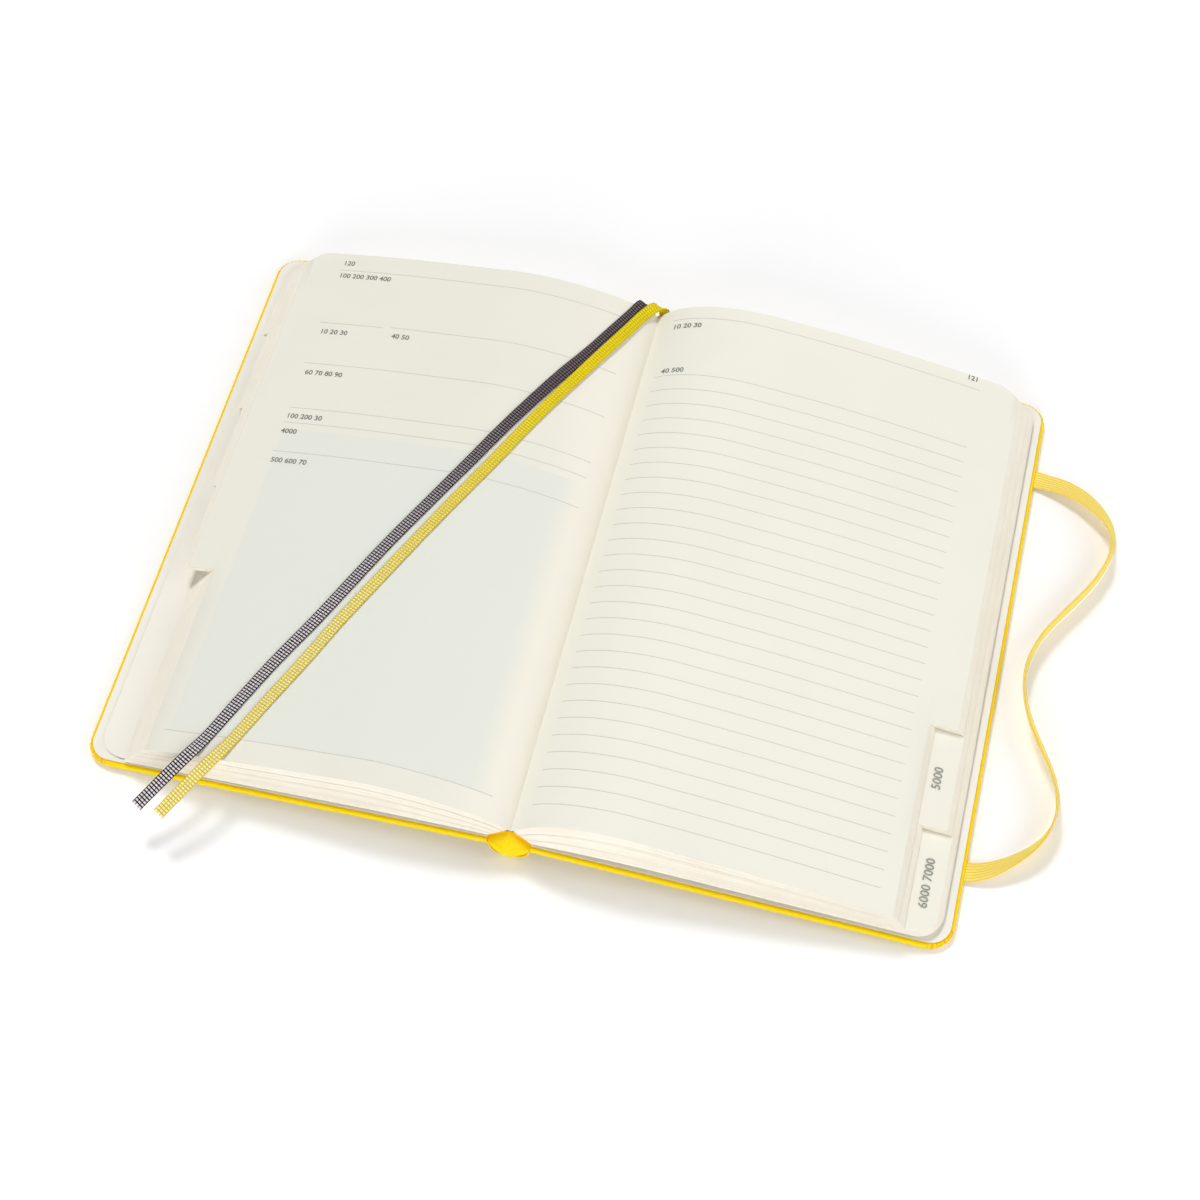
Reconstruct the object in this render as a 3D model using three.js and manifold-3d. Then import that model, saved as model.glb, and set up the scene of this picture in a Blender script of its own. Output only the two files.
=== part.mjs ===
// A hardcover journal lying open at its middle, all sizes in millimetres.
// X runs from the front cover to the back cover, Y from tail to head, and Z is up from the table.
import * as THREE from "three";
import { mergeVertices } from "three/addons/utils/BufferGeometryUtils.js";
import Module from "manifold-3d";

const wasm = await Module();
wasm.setup();

// The case: two boards wrapped in one cloth, with a bare soft spine between them.
const BOARD_W = 130;
const BOARD_H = 210;
const BOARD_T = 1.2;
const CLOTH_T = 0.3;
const CORNER_R = 8;
const TURN_IN = 14;
const TURN_IN_R = 2;
const CASE_SEAT = 0.2;
const SPINE_CHORD = 13.4;
const SPINE_RISE = 5.6;
const SPINE_CLOTH_T = 0.6;
const FOOT_CLEARANCE = 0.3;

// Endpapers.
const PASTEDOWN_T = 0.2;
const PASTEDOWN_INSET = 1.2;
const PAPER_SEAT = 0.2;
const FLYLEAF_T = 0.25;

// The block of leaves. Each half fans from its sewn back to its fore edge.
const PAGE_END_INSET = 2.5;
const PAGE_CORNER_R = 8;
const LEAF_T = 0.25;
const LEAF_GAP = 0.3;
const BACK_INSET = 0.35;

// The thumb index: six equal steps down the fore edge.
const INDEX_ROWS = 6;
const THUMB_CUT = 9;
const STEP_CLEARANCE = 0.1;

// The gauze glued over the back of the block.
const MULL_T = 0.3;
const MULL_CLEARANCE = 0.35;
const MULL_END_INSET = 6;

// The pocket inside the back cover, with a folded gusset at head and tail.
const POCKET_T = 0.3;
const GUSSET_T = 0.2;
const GUSSET_W = 10;
const POCKET_MOUTH = 17;
const POCKET_FORE_INSET = 6.5;
const POCKET_END_INSET = 5;
const POCKET_SEAT = 0.2;
const POCKET_CORNER_R = 5;

// The elastic band and the two page markers.
const BAND_W = 7;
const BAND_T = 0.7;
const BAND_CLEARANCE = 0.3;
const BAND_ENTRY = 5;
const BAND_EXIT_HEAD = 74.7;
const BAND_EXIT_TAIL = -76.8;
const RIBBON_W = 4;
const RIBBON_T = 0.35;

const CASE_T = BOARD_T + 2 * CLOTH_T + 2 * CASE_SEAT;
const TILT = Math.asin(SPINE_RISE / BOARD_W);
const HINGE_X = SPINE_CHORD / 2;
const LINING_TOP = CASE_T + PAPER_SEAT + PASTEDOWN_T;
const PAGE_H = BOARD_H - 2 * PAGE_END_INSET;
const POCKET_SIDE = BOARD_W - POCKET_FORE_INSET;
const ROW_H = PAGE_H / INDEX_ROWS;

// How finely the curves are divided, and how far a cutting solid passes what it cuts.
const CURVE_STEPS = 26;
const CORNER_STEPS = 8;
const SPINE_STEPS = 20;
const BAND_STEPS = 76;
const RIBBON_STEPS = 56;
const PASS = 1;

const colours = {
  yellow: new THREE.Color(0.98, 0.8, 0.02),
  board: new THREE.Color(0.55, 0.5, 0.42),
  endpaper: new THREE.Color(0.93, 0.91, 0.83),
  page: new THREE.Color(0.92, 0.9, 0.81),
  gauze: new THREE.Color(0.85, 0.82, 0.74),
  elastic: new THREE.Color(0.97, 0.78, 0.2),
  plum: new THREE.Color(0.19, 0.15, 0.17),
};

const journal = new THREE.Group();

// A colour becomes one sub-part's own material.
function finish(colour, roughness) {
  return new THREE.MeshStandardMaterial({ color: colour, roughness, metalness: 0 });
}

function addPart(group, name, geometry, colour, roughness = 0.8) {
  const mesh = new THREE.Mesh(geometry, finish(colour, roughness));
  mesh.name = name;
  group.add(mesh);
  return mesh;
}

// A closed three.js geometry becomes a solid that can be cut and joined.
function toSolid(geometry) {
  const bare = geometry.index ? geometry.toNonIndexed() : geometry.clone();
  bare.deleteAttribute("normal");
  bare.deleteAttribute("uv");
  const merged = mergeVertices(bare, 1e-4);
  return new wasm.Manifold(new wasm.Mesh({
    numProp: 3,
    vertProperties: new Float32Array(merged.attributes.position.array),
    triVerts: new Uint32Array(merged.index.array),
  }));
}

function toGeometry(solid) {
  const mesh = solid.getMesh();
  const geometry = new THREE.BufferGeometry();
  geometry.setAttribute("position", new THREE.BufferAttribute(mesh.vertProperties, 3));
  geometry.setIndex(new THREE.BufferAttribute(mesh.triVerts, 1));
  geometry.computeVertexNormals();
  return geometry;
}

// A flat outline seen from above, raised from one height to another.
function plate(shape, low, high) {
  const geometry = new THREE.ExtrudeGeometry(shape, {
    depth: high - low,
    bevelEnabled: false,
    curveSegments: CORNER_STEPS,
  });
  geometry.translate(0, 0, low);
  return geometry;
}

// An outline seen from the tail, run along the height of the book from one Y to another.
function bar(points, tail, head) {
  const geometry = new THREE.ExtrudeGeometry(new THREE.Shape(points), {
    depth: head - tail,
    bevelEnabled: false,
  });
  geometry.rotateX(Math.PI / 2);
  geometry.translate(0, head, 0);
  return geometry;
}

// A leaf outline on the side given: square at the spine, with round corners at the fore edge.
function leafOutline(side, inner, outer, halfHeight, radius) {
  const shape = new THREE.Shape();
  const turn = Math.PI / 2;
  shape.moveTo(side * inner, -halfHeight);
  shape.lineTo(side * (outer - radius), -halfHeight);
  if (side > 0) {
    shape.absarc(outer - radius, -halfHeight + radius, radius, -turn, 0, false);
    shape.lineTo(outer, halfHeight - radius);
    shape.absarc(outer - radius, halfHeight - radius, radius, 0, turn, false);
  } else {
    shape.absarc(radius - outer, -halfHeight + radius, radius, -turn, -2 * turn, true);
    shape.lineTo(-outer, halfHeight - radius);
    shape.absarc(radius - outer, halfHeight - radius, radius, 2 * turn, turn, true);
  }
  shape.lineTo(side * inner, halfHeight);
  shape.closePath();
  return shape;
}

// One side of the open book: its own frame starts at the spine edge of the board, tilted with it.
function sideGroup(side) {
  const group = new THREE.Group();
  group.position.set(side * HINGE_X, 0, SPINE_RISE);
  group.rotation.y = side * TILT;
  journal.add(group);
  return group;
}

// The slit at the fore edge where an end of the elastic band goes in.
function bandSlit(middle) {
  const half = BAND_W / 2 + BAND_CLEARANCE;
  const slit = new THREE.BoxGeometry(2 * BAND_ENTRY, 2 * half, BAND_T + 2 * BAND_CLEARANCE);
  slit.translate(BOARD_W, middle, CLOTH_T + BAND_T / 2 + BAND_CLEARANCE);
  return slit;
}

function withoutSlits(solid, side) {
  if (side < 0) {
    return solid;
  }
  const slits = [BAND_EXIT_HEAD, BAND_EXIT_TAIL].map((y) => toSolid(bandSlit(y)));
  return slits.reduce((rest, slit) => rest.subtract(slit), solid);
}

// The cloth over a board: its outer face, its rolled edges and the turn-in round three sides.
function coverCloth(side) {
  const half = BOARD_H / 2;
  const [width, height, radius] = [BOARD_W - CLOTH_T, half - CLOTH_T, CORNER_R - CLOTH_T];
  const whole = leafOutline(side, 0, BOARD_W, half, CORNER_R);
  const inner = leafOutline(side, -PASS, width, height, radius);
  const window = leafOutline(side, -PASS, BOARD_W - TURN_IN, half - TURN_IN, TURN_IN_R);
  const cloth = toSolid(plate(whole, 0, CASE_T))
    .subtract(toSolid(plate(inner, CLOTH_T, CASE_T - CLOTH_T)))
    .subtract(toSolid(plate(window, CASE_T - 2 * CLOTH_T, CASE_T + PASS)));
  return toGeometry(withoutSlits(cloth, side));
}

function coverBoard(side) {
  const inset = CLOTH_T + CASE_SEAT;
  const outline = leafOutline(side, 0, BOARD_W - inset, BOARD_H / 2 - inset, CORNER_R - inset);
  const board = toSolid(plate(outline, inset, inset + BOARD_T));
  return toGeometry(withoutSlits(board, side));
}

function pastedown(side) {
  const inset = PASTEDOWN_INSET;
  const outline = leafOutline(side, 0, BOARD_W - inset, BOARD_H / 2 - inset, CORNER_R - inset);
  return plate(outline, CASE_T + PAPER_SEAT, LINING_TOP);
}

// The lowest and the highest leaf of each half, seen from the tail in the frame of its board.
// Heights are above the endpaper, and the first point of each is on the sewn back.
const FLATTEST = {
  front: [[0.4, 0.75], [12, 1.1], [36, 1.5], [80, 0.9], [126, 0.4]],
  back: [[0.4, 0.95], [12, 1.7], [36, 2.5], [80, 1.9], [126, 1.4]],
};
const STEEPEST = {
  front: [[-6.4, 4.3], [-2.6, 7.2], [8, 11.3], [22, 14.4], [37, 16], [52, 15.1], [84, 12.4], [117.5, 7.9]],
  back: [[-6.4, 4.3], [-3.2, 8], [1.5, 11.3], [10, 14.6], [23, 16.6], [38, 16], [68, 13.6], [119.5, 7.7]],
};

function leafCurve(points) {
  return new THREE.SplineCurve(points.map(([u, h]) => new THREE.Vector2(u, LINING_TOP + h)));
}

const FANS = {
  front: { side: -1, low: leafCurve(FLATTEST.front), high: leafCurve(STEEPEST.front) },
  back: { side: 1, low: leafCurve(FLATTEST.back), high: leafCurve(STEEPEST.back) },
};

// A point of the fan: how far along the leaf, which leaf (0 lowest, 1 highest), and a rise across it.
function fanPoint(fan, along, leaf, rise) {
  const low = fan.low.getPointAt(along);
  const high = fan.high.getPointAt(along);
  const across = high.clone().sub(low).normalize();
  const point = low.lerp(high, leaf).addScaledVector(across, rise);
  return new THREE.Vector2(fan.side * point.x, point.y);
}

// A stack of leaves between two leaves of the fan.
function fanOutline(fan, from, to) {
  const above = [];
  const below = [];
  for (let i = 0; i <= CURVE_STEPS; i += 1) {
    const along = i / CURVE_STEPS;
    above.push(fanPoint(fan, along, to.leaf, to.rise));
    below.push(fanPoint(fan, along, from.leaf, from.rise));
  }
  return above.concat(below.reverse());
}

// The rounded page outline, leaned so that its fore edge follows the slope of the fan's.
function pageTrim(fan) {
  const low = fan.low.getPointAt(1);
  const high = fan.high.getPointAt(1);
  const lean = (high.x - low.x) / (high.y - low.y);
  const outline = leafOutline(fan.side, -SPINE_CHORD, low.x, PAGE_H / 2, PAGE_CORNER_R);
  const trim = plate(outline, -low.y, BOARD_W);
  const shear = new THREE.Matrix4().makeShear(0, 0, 0, 0, fan.side * lean, 0);
  trim.applyMatrix4(shear);
  trim.translate(0, 0, low.y);
  return toSolid(trim);
}

// A stack is trimmed to the page outline, and cut back at the thumb index below its own row.
function pageStack(fan, from, to, row) {
  const half = PAGE_H / 2;
  const stack = toSolid(bar(fanOutline(fan, from, to), -half, half)).intersect(pageTrim(fan));
  if (row >= INDEX_ROWS) {
    return toGeometry(stack);
  }
  const reach = 1 - THUMB_CUT / fan.low.getLength();
  const outwards = new THREE.Vector2(fan.side * THUMB_CUT, 0);
  const cut = [
    fanPoint(fan, reach, 0, -PASS),
    fanPoint(fan, 1, 0, -PASS).add(outwards),
    fanPoint(fan, 1, 1, PASS).add(outwards),
    fanPoint(fan, reach, 1, PASS),
  ];
  const shelf = half - row * ROW_H - STEP_CLEARANCE;
  return toGeometry(stack.subtract(toSolid(bar(cut, -half - PASS, shelf))));
}

// Half of the gauze, along the sewn back from the groove to the gutter.
function mull(fan) {
  const foot = fanPoint(fan, 0, 0, 0);
  const top = fanPoint(fan, 0, 1, 0);
  const along = top.clone().sub(foot).normalize();
  const out = new THREE.Vector2(-fan.side * along.y, fan.side * along.x);
  const near = out.clone().multiplyScalar(MULL_CLEARANCE);
  const far = out.clone().multiplyScalar(MULL_CLEARANCE + MULL_T);
  const end = PAGE_H / 2 - MULL_END_INSET;
  const start = foot.clone().addScaledVector(along, BACK_INSET);
  const outline = [
    start.clone().add(near),
    top.clone().add(near),
    top.clone().add(far),
    start.clone().add(far),
  ];
  return bar(outline, -end, end);
}

// The bare cloth between the boards hangs in a round curve when the book lies open.
function spineCloth() {
  const middle = SPINE_RISE + CASE_T / 2;
  const width = HINGE_X - CLOTH_T;
  const depth = middle - FOOT_CLEARANCE;
  const outside = [];
  const inside = [];
  for (let i = 0; i <= SPINE_STEPS; i += 1) {
    const turn = (Math.PI * i) / SPINE_STEPS;
    const [c, s] = [Math.cos(turn), Math.sin(turn)];
    outside.push(new THREE.Vector2(width * c, middle - depth * s));
    inside.push(new THREE.Vector2(
      (width - SPINE_CLOTH_T) * c,
      middle - (depth - SPINE_CLOTH_T) * s,
    ));
  }
  return bar(outside.concat(inside.reverse()), -BOARD_H / 2, BOARD_H / 2);
}

// The pocket panel, hinged along its fore-edge side, with its mouth towards the spine.
function pocketPanel() {
  const floor = LINING_TOP + 2 * POCKET_SEAT + GUSSET_T;
  const half = PAGE_H / 2 - POCKET_END_INSET;
  const outline = leafOutline(1, POCKET_MOUTH, POCKET_SIDE, half, POCKET_CORNER_R);
  return plate(outline, floor, floor + POCKET_T);
}

function pocketGusset(end) {
  const half = PAGE_H / 2 - POCKET_END_INSET;
  const outline = new THREE.Shape([
    new THREE.Vector2(POCKET_MOUTH, end * (half - GUSSET_W)),
    new THREE.Vector2(POCKET_SIDE - POCKET_CORNER_R, end * (half - GUSSET_W)),
    new THREE.Vector2(POCKET_SIDE - POCKET_CORNER_R, end * half),
    new THREE.Vector2(POCKET_MOUTH, end * half),
  ]);
  const floor = LINING_TOP + POCKET_SEAT;
  return plate(outline, floor, floor + GUSSET_T);
}

// A flat band along a path: at each point, the way that its width faces is chosen too.
class FlatPath extends THREE.CatmullRomCurve3 {
  constructor(points, widths) {
    super(points, false, "centripetal");
    this.widths = new THREE.CatmullRomCurve3(widths, false, "centripetal");
  }

  computeFrenetFrames(segments) {
    const tangents = [];
    const normals = [];
    const binormals = [];
    for (let i = 0; i <= segments; i += 1) {
      const share = this.getUtoTmapping(i / segments);
      const tangent = this.getTangent(share);
      const width = this.widths.getPoint(share);
      width.addScaledVector(tangent, -width.dot(tangent)).normalize();
      tangents.push(tangent);
      normals.push(width);
      binormals.push(new THREE.Vector3().crossVectors(tangent, width));
    }
    return { tangents, normals, binormals };
  }
}

// An eight-sided band section, thin across and rounded at both edges.
function bandSection(width, thickness) {
  const [a, b] = [width / 2, thickness / 2];
  const shoulder = a - b;
  return new THREE.Shape([
    new THREE.Vector2(a, 0),
    new THREE.Vector2(shoulder, b),
    new THREE.Vector2(0, b),
    new THREE.Vector2(-shoulder, b),
    new THREE.Vector2(-a, 0),
    new THREE.Vector2(-shoulder, -b),
    new THREE.Vector2(0, -b),
    new THREE.Vector2(shoulder, -b),
  ]);
}

function flatBand(route, width, thickness, steps) {
  const points = route.map(([x, y, z]) => new THREE.Vector3(x, y, z));
  const widths = route.map(([, , , x, y, z]) => new THREE.Vector3(x, y, z));
  const path = new FlatPath(points, widths);
  const band = new THREE.ExtrudeGeometry(bandSection(width, thickness), {
    steps,
    extrudePath: path,
    bevelEnabled: false,
  });
  return { band, length: path.getLength() };
}

// Each row: a point of the band's middle line, then the direction of its width there.
const ELASTIC_ROUTE = [
  [132.3, 74.7, 1.14, 0, 1, 0],
  [136.8, 74.7, 0.95, 0, 1, 0],
  [140.5, 74.2, 1.2, 0.05, 1, 0.05],
  [146, 72.8, 2.4, 0.2, 1, 0.25],
  [151.8, 70.2, 3.4, 0.4, 0.9, 0.5],
  [157.5, 66.2, 3.9, 0.5, 0.6, 0.8],
  [162.6, 60.6, 4.1, 0.4, 0.25, 1],
  [165.2, 53.4, 4.1, 0.15, 0, 1],
  [164.6, 45.5, 4.1, -0.2, -0.1, 1],
  [161.6, 36.8, 4, -0.6, -0.25, 0.9],
  [157, 28, 3.9, -0.9, 0.1, 0.8],
  [151.6, 19, 3.9, -0.9, 0.2, 0.8],
  [147, 9.5, 4, -0.6, 0.1, 1],
  [144.5, -1, 4.1, -0.15, 0, 1],
  [145.2, -11, 4.1, 0.2, 0, 1],
  [148.4, -20.5, 4, 0.6, -0.2, 0.9],
  [153, -29.5, 4, 0.6, -0.3, 1],
  [157.9, -38.5, 4.1, 0.3, -0.1, 1],
  [160.6, -47.5, 4.1, 0, 0, 1],
  [160, -56.3, 4.1, -0.3, -0.3, 1],
  [156.2, -64.2, 3.8, -0.5, -0.8, 0.8],
  [150, -70.6, 2.9, -0.4, -1, 0.45],
  [143.6, -74.8, 1.7, -0.15, -1, 0.15],
  [139.5, -76.3, 1.1, -0.03, -1, 0.02],
  [136.8, -76.8, 0.95, 0, -1, 0],
  [132.3, -76.8, 1.14, 0, -1, 0],
];

// The two page markers, each from the hollow of the spine at the head to its cut end past the tail.
const PLUM_ROUTE = [
  [-2.6, 90, 6.4, 1, 0, 0.1],
  [-2.8, 97, 6.9, 1, 0, 0.1],
  [-3.4, 103.2, 9.2, 1, 0.02, 0.1],
  [-4.6, 105.1, 13.4, 0.98, 0.1, 0.2],
  [-6.6, 103.6, 17.9, 0.93, 0.3, 0.3],
  [-9.2, 98.2, 19.6, 0.88, 0.42, 0.3],
  [-14.4, 85.2, 20.5, 0.88, 0.46, 0.24],
  [-18.3, 76.8, 21.1, 0.88, 0.46, 0.2],
  [-25.1, 63.1, 22.3, 0.88, 0.47, 0.12],
  [-31.4, 50.1, 23, 0.88, 0.47, 0.06],
  [-38.4, 35.1, 23.6, 0.89, 0.46, 0],
  [-44.8, 20.8, 23.8, 0.89, 0.45, -0.06],
  [-53.5, 2.7, 23, 0.9, 0.44, -0.1],
  [-62, -14.8, 21.9, 0.9, 0.43, -0.12],
  [-69.6, -31.9, 21, 0.91, 0.42, -0.12],
  [-76.9, -48.6, 20.1, 0.91, 0.42, -0.13],
  [-84.8, -65.1, 19, 0.91, 0.42, -0.14],
  [-91.7, -81.1, 18.3, 0.91, 0.41, -0.14],
  [-97.6, -95.2, 17.5, 0.91, 0.41, -0.14],
  [-101.6, -104, 16.8, 0.91, 0.41, -0.13],
  [-106.4, -112.4, 15.2, 0.92, 0.4, -0.1],
  [-112.2, -121.2, 11.6, 0.92, 0.39, -0.08],
];
const YELLOW_ROUTE = [
  [2.6, 90, 6.4, 1, 0, -0.05],
  [2.6, 97, 6.9, 1, 0, -0.05],
  [2.2, 103.2, 9.2, 1, 0, 0],
  [1, 105.4, 13.6, 0.98, 0.05, 0.15],
  [-1.4, 104.4, 16.8, 0.93, 0.2, 0.3],
  [-3.9, 100.4, 18, 0.84, 0.4, 0.36],
  [-9.2, 87.8, 19.3, 0.86, 0.45, 0.28],
  [-13, 79.2, 20.2, 0.87, 0.46, 0.25],
  [-19.1, 65.5, 21.3, 0.88, 0.46, 0.2],
  [-25.1, 52.2, 22.4, 0.88, 0.47, 0.12],
  [-31.6, 37.2, 23.1, 0.89, 0.46, 0.06],
  [-37.6, 22.8, 23.6, 0.89, 0.46, 0],
  [-46, 4.1, 23.8, 0.9, 0.44, -0.06],
  [-54.1, -13.5, 22.9, 0.9, 0.43, -0.1],
  [-61.8, -30.5, 22, 0.91, 0.42, -0.12],
  [-69.3, -47.3, 21.1, 0.91, 0.42, -0.12],
  [-75.9, -63.6, 20.3, 0.91, 0.42, -0.13],
  [-82.9, -79.7, 19.6, 0.91, 0.41, -0.14],
  [-89.5, -95.4, 18.8, 0.91, 0.41, -0.14],
  [-93.6, -104.4, 18.1, 0.91, 0.41, -0.13],
  [-98.6, -113.4, 16.3, 0.92, 0.4, -0.1],
  [-104.6, -122.8, 12.6, 0.92, 0.39, -0.08],
];

const frontSide = sideGroup(-1);
const backSide = sideGroup(1);

addPart(frontSide, "front_cover_cloth", coverCloth(-1), colours.yellow, 0.5);
addPart(frontSide, "front_board", coverBoard(-1), colours.board, 0.9);
addPart(frontSide, "front_pastedown", pastedown(-1), colours.endpaper);
addPart(backSide, "back_cover_cloth", coverCloth(1), colours.yellow, 0.5);
addPart(backSide, "back_board", coverBoard(1), colours.board, 0.9);
addPart(backSide, "back_pastedown", pastedown(1), colours.endpaper);
addPart(journal, "spine_cloth", spineCloth(), colours.yellow, 0.5);
addPart(backSide, "pocket_panel", pocketPanel(), colours.endpaper);
addPart(backSide, "pocket_gusset_head", pocketGusset(1), colours.endpaper);
addPart(backSide, "pocket_gusset_tail", pocketGusset(-1), colours.endpaper);

// Sections from the endpaper up, with the index row that ends each one.
const SECTIONS = {
  front: [
    ["index_section_1", 1],
    ["index_section_2", 2],
    ["index_section_3", 3],
    ["index_section_4_front", 4],
  ],
  back: [["index_section_6", 6], ["index_section_5", 5], ["index_section_4_back", 4]],
};

function addBlock(half, group) {
  const fan = FANS[half];
  const flyleaf = [{ leaf: 0, rise: 0 }, { leaf: 0, rise: FLYLEAF_T }];
  addPart(group, `${half}_flyleaf`, pageStack(fan, ...flyleaf, INDEX_ROWS), colours.endpaper);
  const floor = FLYLEAF_T + LEAF_GAP;
  const ceiling = -LEAF_T - LEAF_GAP;
  const rows = SECTIONS[half];
  rows.forEach(([name, row], i) => {
    const from = i === 0 ? { leaf: 0, rise: floor } : { leaf: i / rows.length, rise: LEAF_GAP / 2 };
    const last = i === rows.length - 1;
    const to = last ? { leaf: 1, rise: ceiling } : { leaf: (i + 1) / rows.length, rise: -LEAF_GAP / 2 };
    addPart(group, name, pageStack(fan, from, to, row), colours.page);
  });
  const top = [{ leaf: 1, rise: -LEAF_T }, { leaf: 1, rise: 0 }];
  addPart(group, `${half}_open_leaf`, pageStack(fan, ...top, rows[rows.length - 1][1]), colours.page);
  addPart(group, `${half}_mull`, mull(fan), colours.gauze);
}

addBlock("front", frontSide);
addBlock("back", backSide);

function addBand(name, route, width, thickness, count, colour) {
  const { band, length } = flatBand(route, width, thickness, count);
  addPart(journal, name, band, colour, 0.7);
  console.log(`${name} is ${length.toFixed(1)} mm long`);
}

addBand("elastic_band", ELASTIC_ROUTE, BAND_W, BAND_T, BAND_STEPS, colours.elastic);
addBand("plum_ribbon", PLUM_ROUTE, RIBBON_W, RIBBON_T, RIBBON_STEPS, colours.plum);
addBand("yellow_ribbon", YELLOW_ROUTE, RIBBON_W, RIBBON_T, RIBBON_STEPS, colours.yellow);

export default journal;
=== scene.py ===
"""Dresses a packed hardcover journal that lies open at its middle.

Sizes in the classes are in millimetres, and the meshes are in metres. X runs from the front
cover to the back cover, Y from tail to head, and Z is up from the table.
"""

import logging
import math
from collections.abc import Iterable, Iterator, Sequence
from contextlib import contextmanager
from dataclasses import dataclass, field, replace
from enum import Enum
from functools import reduce

import bmesh
import bpy
import numpy as np
from mathutils import Matrix, Vector


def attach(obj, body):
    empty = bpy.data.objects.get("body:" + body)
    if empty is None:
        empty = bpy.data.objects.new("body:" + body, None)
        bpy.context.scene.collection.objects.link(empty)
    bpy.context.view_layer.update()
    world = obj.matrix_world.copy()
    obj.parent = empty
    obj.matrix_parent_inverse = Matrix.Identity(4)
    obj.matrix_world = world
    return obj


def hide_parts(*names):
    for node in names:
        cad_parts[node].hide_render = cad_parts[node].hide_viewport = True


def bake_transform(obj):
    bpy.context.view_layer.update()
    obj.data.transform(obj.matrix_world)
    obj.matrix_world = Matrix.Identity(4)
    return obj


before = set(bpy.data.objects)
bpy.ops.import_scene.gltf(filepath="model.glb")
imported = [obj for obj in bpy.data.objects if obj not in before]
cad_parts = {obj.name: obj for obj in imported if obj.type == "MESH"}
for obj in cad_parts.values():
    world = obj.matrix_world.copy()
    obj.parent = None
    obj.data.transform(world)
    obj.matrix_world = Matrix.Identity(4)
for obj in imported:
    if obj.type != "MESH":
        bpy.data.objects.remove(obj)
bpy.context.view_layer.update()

LOG = logging.getLogger("journal")
MM = 0.001
TINY = 1e-6

Point = tuple[float, float]


class Half(Enum):
    """A half of the open book, with the sign of X on its side."""

    FRONT = -1
    BACK = 1

    @property
    def word(self) -> str:
        """The word that names this half's nodes."""
        return self.name.lower()


# Curves


def hermite(
    near: np.ndarray, far: np.ndarray, start: np.ndarray, end: np.ndarray, samples: int
) -> np.ndarray:
    """Runs a cubic from one point up to the next.

    Args:
        near: the first point.
        far: the next point.
        start: how the curve leaves the first point.
        end: how it comes in at the next.
        samples: how many steps the span is divided into.

    Returns:
        The places on the span, without its end.
    """
    steps = np.linspace(0, 1, samples, endpoint=False)[:, None]
    cube, square = 2 * near - 2 * far + start + end, -3 * near + 3 * far - 2 * start - end
    return ((cube * steps + square) * steps + start) * steps + near


def through_points(points: Sequence[Point], samples: int = 40) -> np.ndarray:
    """Runs a smooth plane curve through points, as the solids' leaf curves do.

    Args:
        points: places along and above the board, in millimetres.
        samples: how many steps each span is divided into.

    Returns:
        The places on the curve, close together.
    """
    known = np.array(points, float)
    padded = np.vstack([known[:1], known, known[-1:]])
    fours = zip(padded, padded[1:], padded[2:], padded[3:])
    spans = [hermite(b, c, (c - a) / 2, (d - b) / 2, samples) for a, b, c, d in fours]
    return np.vstack([*spans, known[-1:]])


def flowing(points: np.ndarray, samples: int = 24) -> np.ndarray:
    """Runs a centripetal curve through points in space, as the solids' band paths do.

    Args:
        points: rows of coordinates.
        samples: how many steps each span is divided into.

    Returns:
        The places on the curve, close together.
    """
    first, last = 2 * points[0] - points[1], 2 * points[-1] - points[-2]
    padded = np.vstack([first, points, last])
    spans = []
    for a, b, c, d in zip(padded, padded[1:], padded[2:], padded[3:]):
        pairs = ((a, b), (b, c), (c, d))
        near, middle, far = (max(float(np.linalg.norm(q - p)), TINY) ** 0.5 for p, q in pairs)
        start = ((b - a) / near - (c - a) / (near + middle) + (c - b) / middle) * middle
        end = ((c - b) / middle - (d - b) / (middle + far) + (d - c) / far) * middle
        spans.append(hermite(b, c, start, end, samples))
    return np.vstack([*spans, points[-1:]])


def run_along(curve: np.ndarray) -> np.ndarray:
    """Gives how far along a curve each of its places is."""
    return np.concatenate([[0.0], np.cumsum(np.linalg.norm(np.diff(curve, axis=0), axis=1))])


def read_at(wanted: np.ndarray, run: np.ndarray, table: np.ndarray) -> np.ndarray:
    """Reads each column of a table where a rising run reaches the wanted numbers."""
    return np.stack([np.interp(wanted, run, column) for column in table.T], axis=1)


def at_lengths(curve: np.ndarray, shares: np.ndarray) -> np.ndarray:
    """Finds the places at given shares, from 0 to 1, of a curve's length."""
    run = run_along(curve)
    return read_at(shares * run[-1], run, curve)


def length_of(curve: np.ndarray) -> float:
    """Adds up the length of a curve given as places close together."""
    return float(np.linalg.norm(np.diff(curve, axis=0), axis=1).sum())


def unit(rows: np.ndarray) -> np.ndarray:
    """Brings each row to a length of 1."""
    return rows / np.linalg.norm(rows, axis=1)[:, None]


# Meshes


def add_object(name: str, data: bpy.types.ID) -> bpy.types.Object:
    """Makes an object of its data and links it to the scene."""
    made = bpy.data.objects.new(name, data)
    bpy.context.scene.collection.objects.link(made)
    return made


def raw_mesh(name: str, points: np.ndarray, faces: Iterable[Sequence[int]] = ()) -> bpy.types.Mesh:
    """Makes a mesh from points in millimetres and lists of point numbers."""
    mesh = bpy.data.meshes.new(name)
    mesh.from_pydata([tuple(p) for p in np.asarray(points, float) * MM], [], [tuple(f) for f in faces])
    return mesh


@contextmanager
def opened(mesh: bpy.types.Mesh) -> Iterator[bmesh.types.BMesh]:
    """Opens a mesh for editing and writes it back."""
    edit = bmesh.new()
    edit.from_mesh(mesh)
    yield edit
    edit.to_mesh(mesh)
    edit.free()


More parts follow.
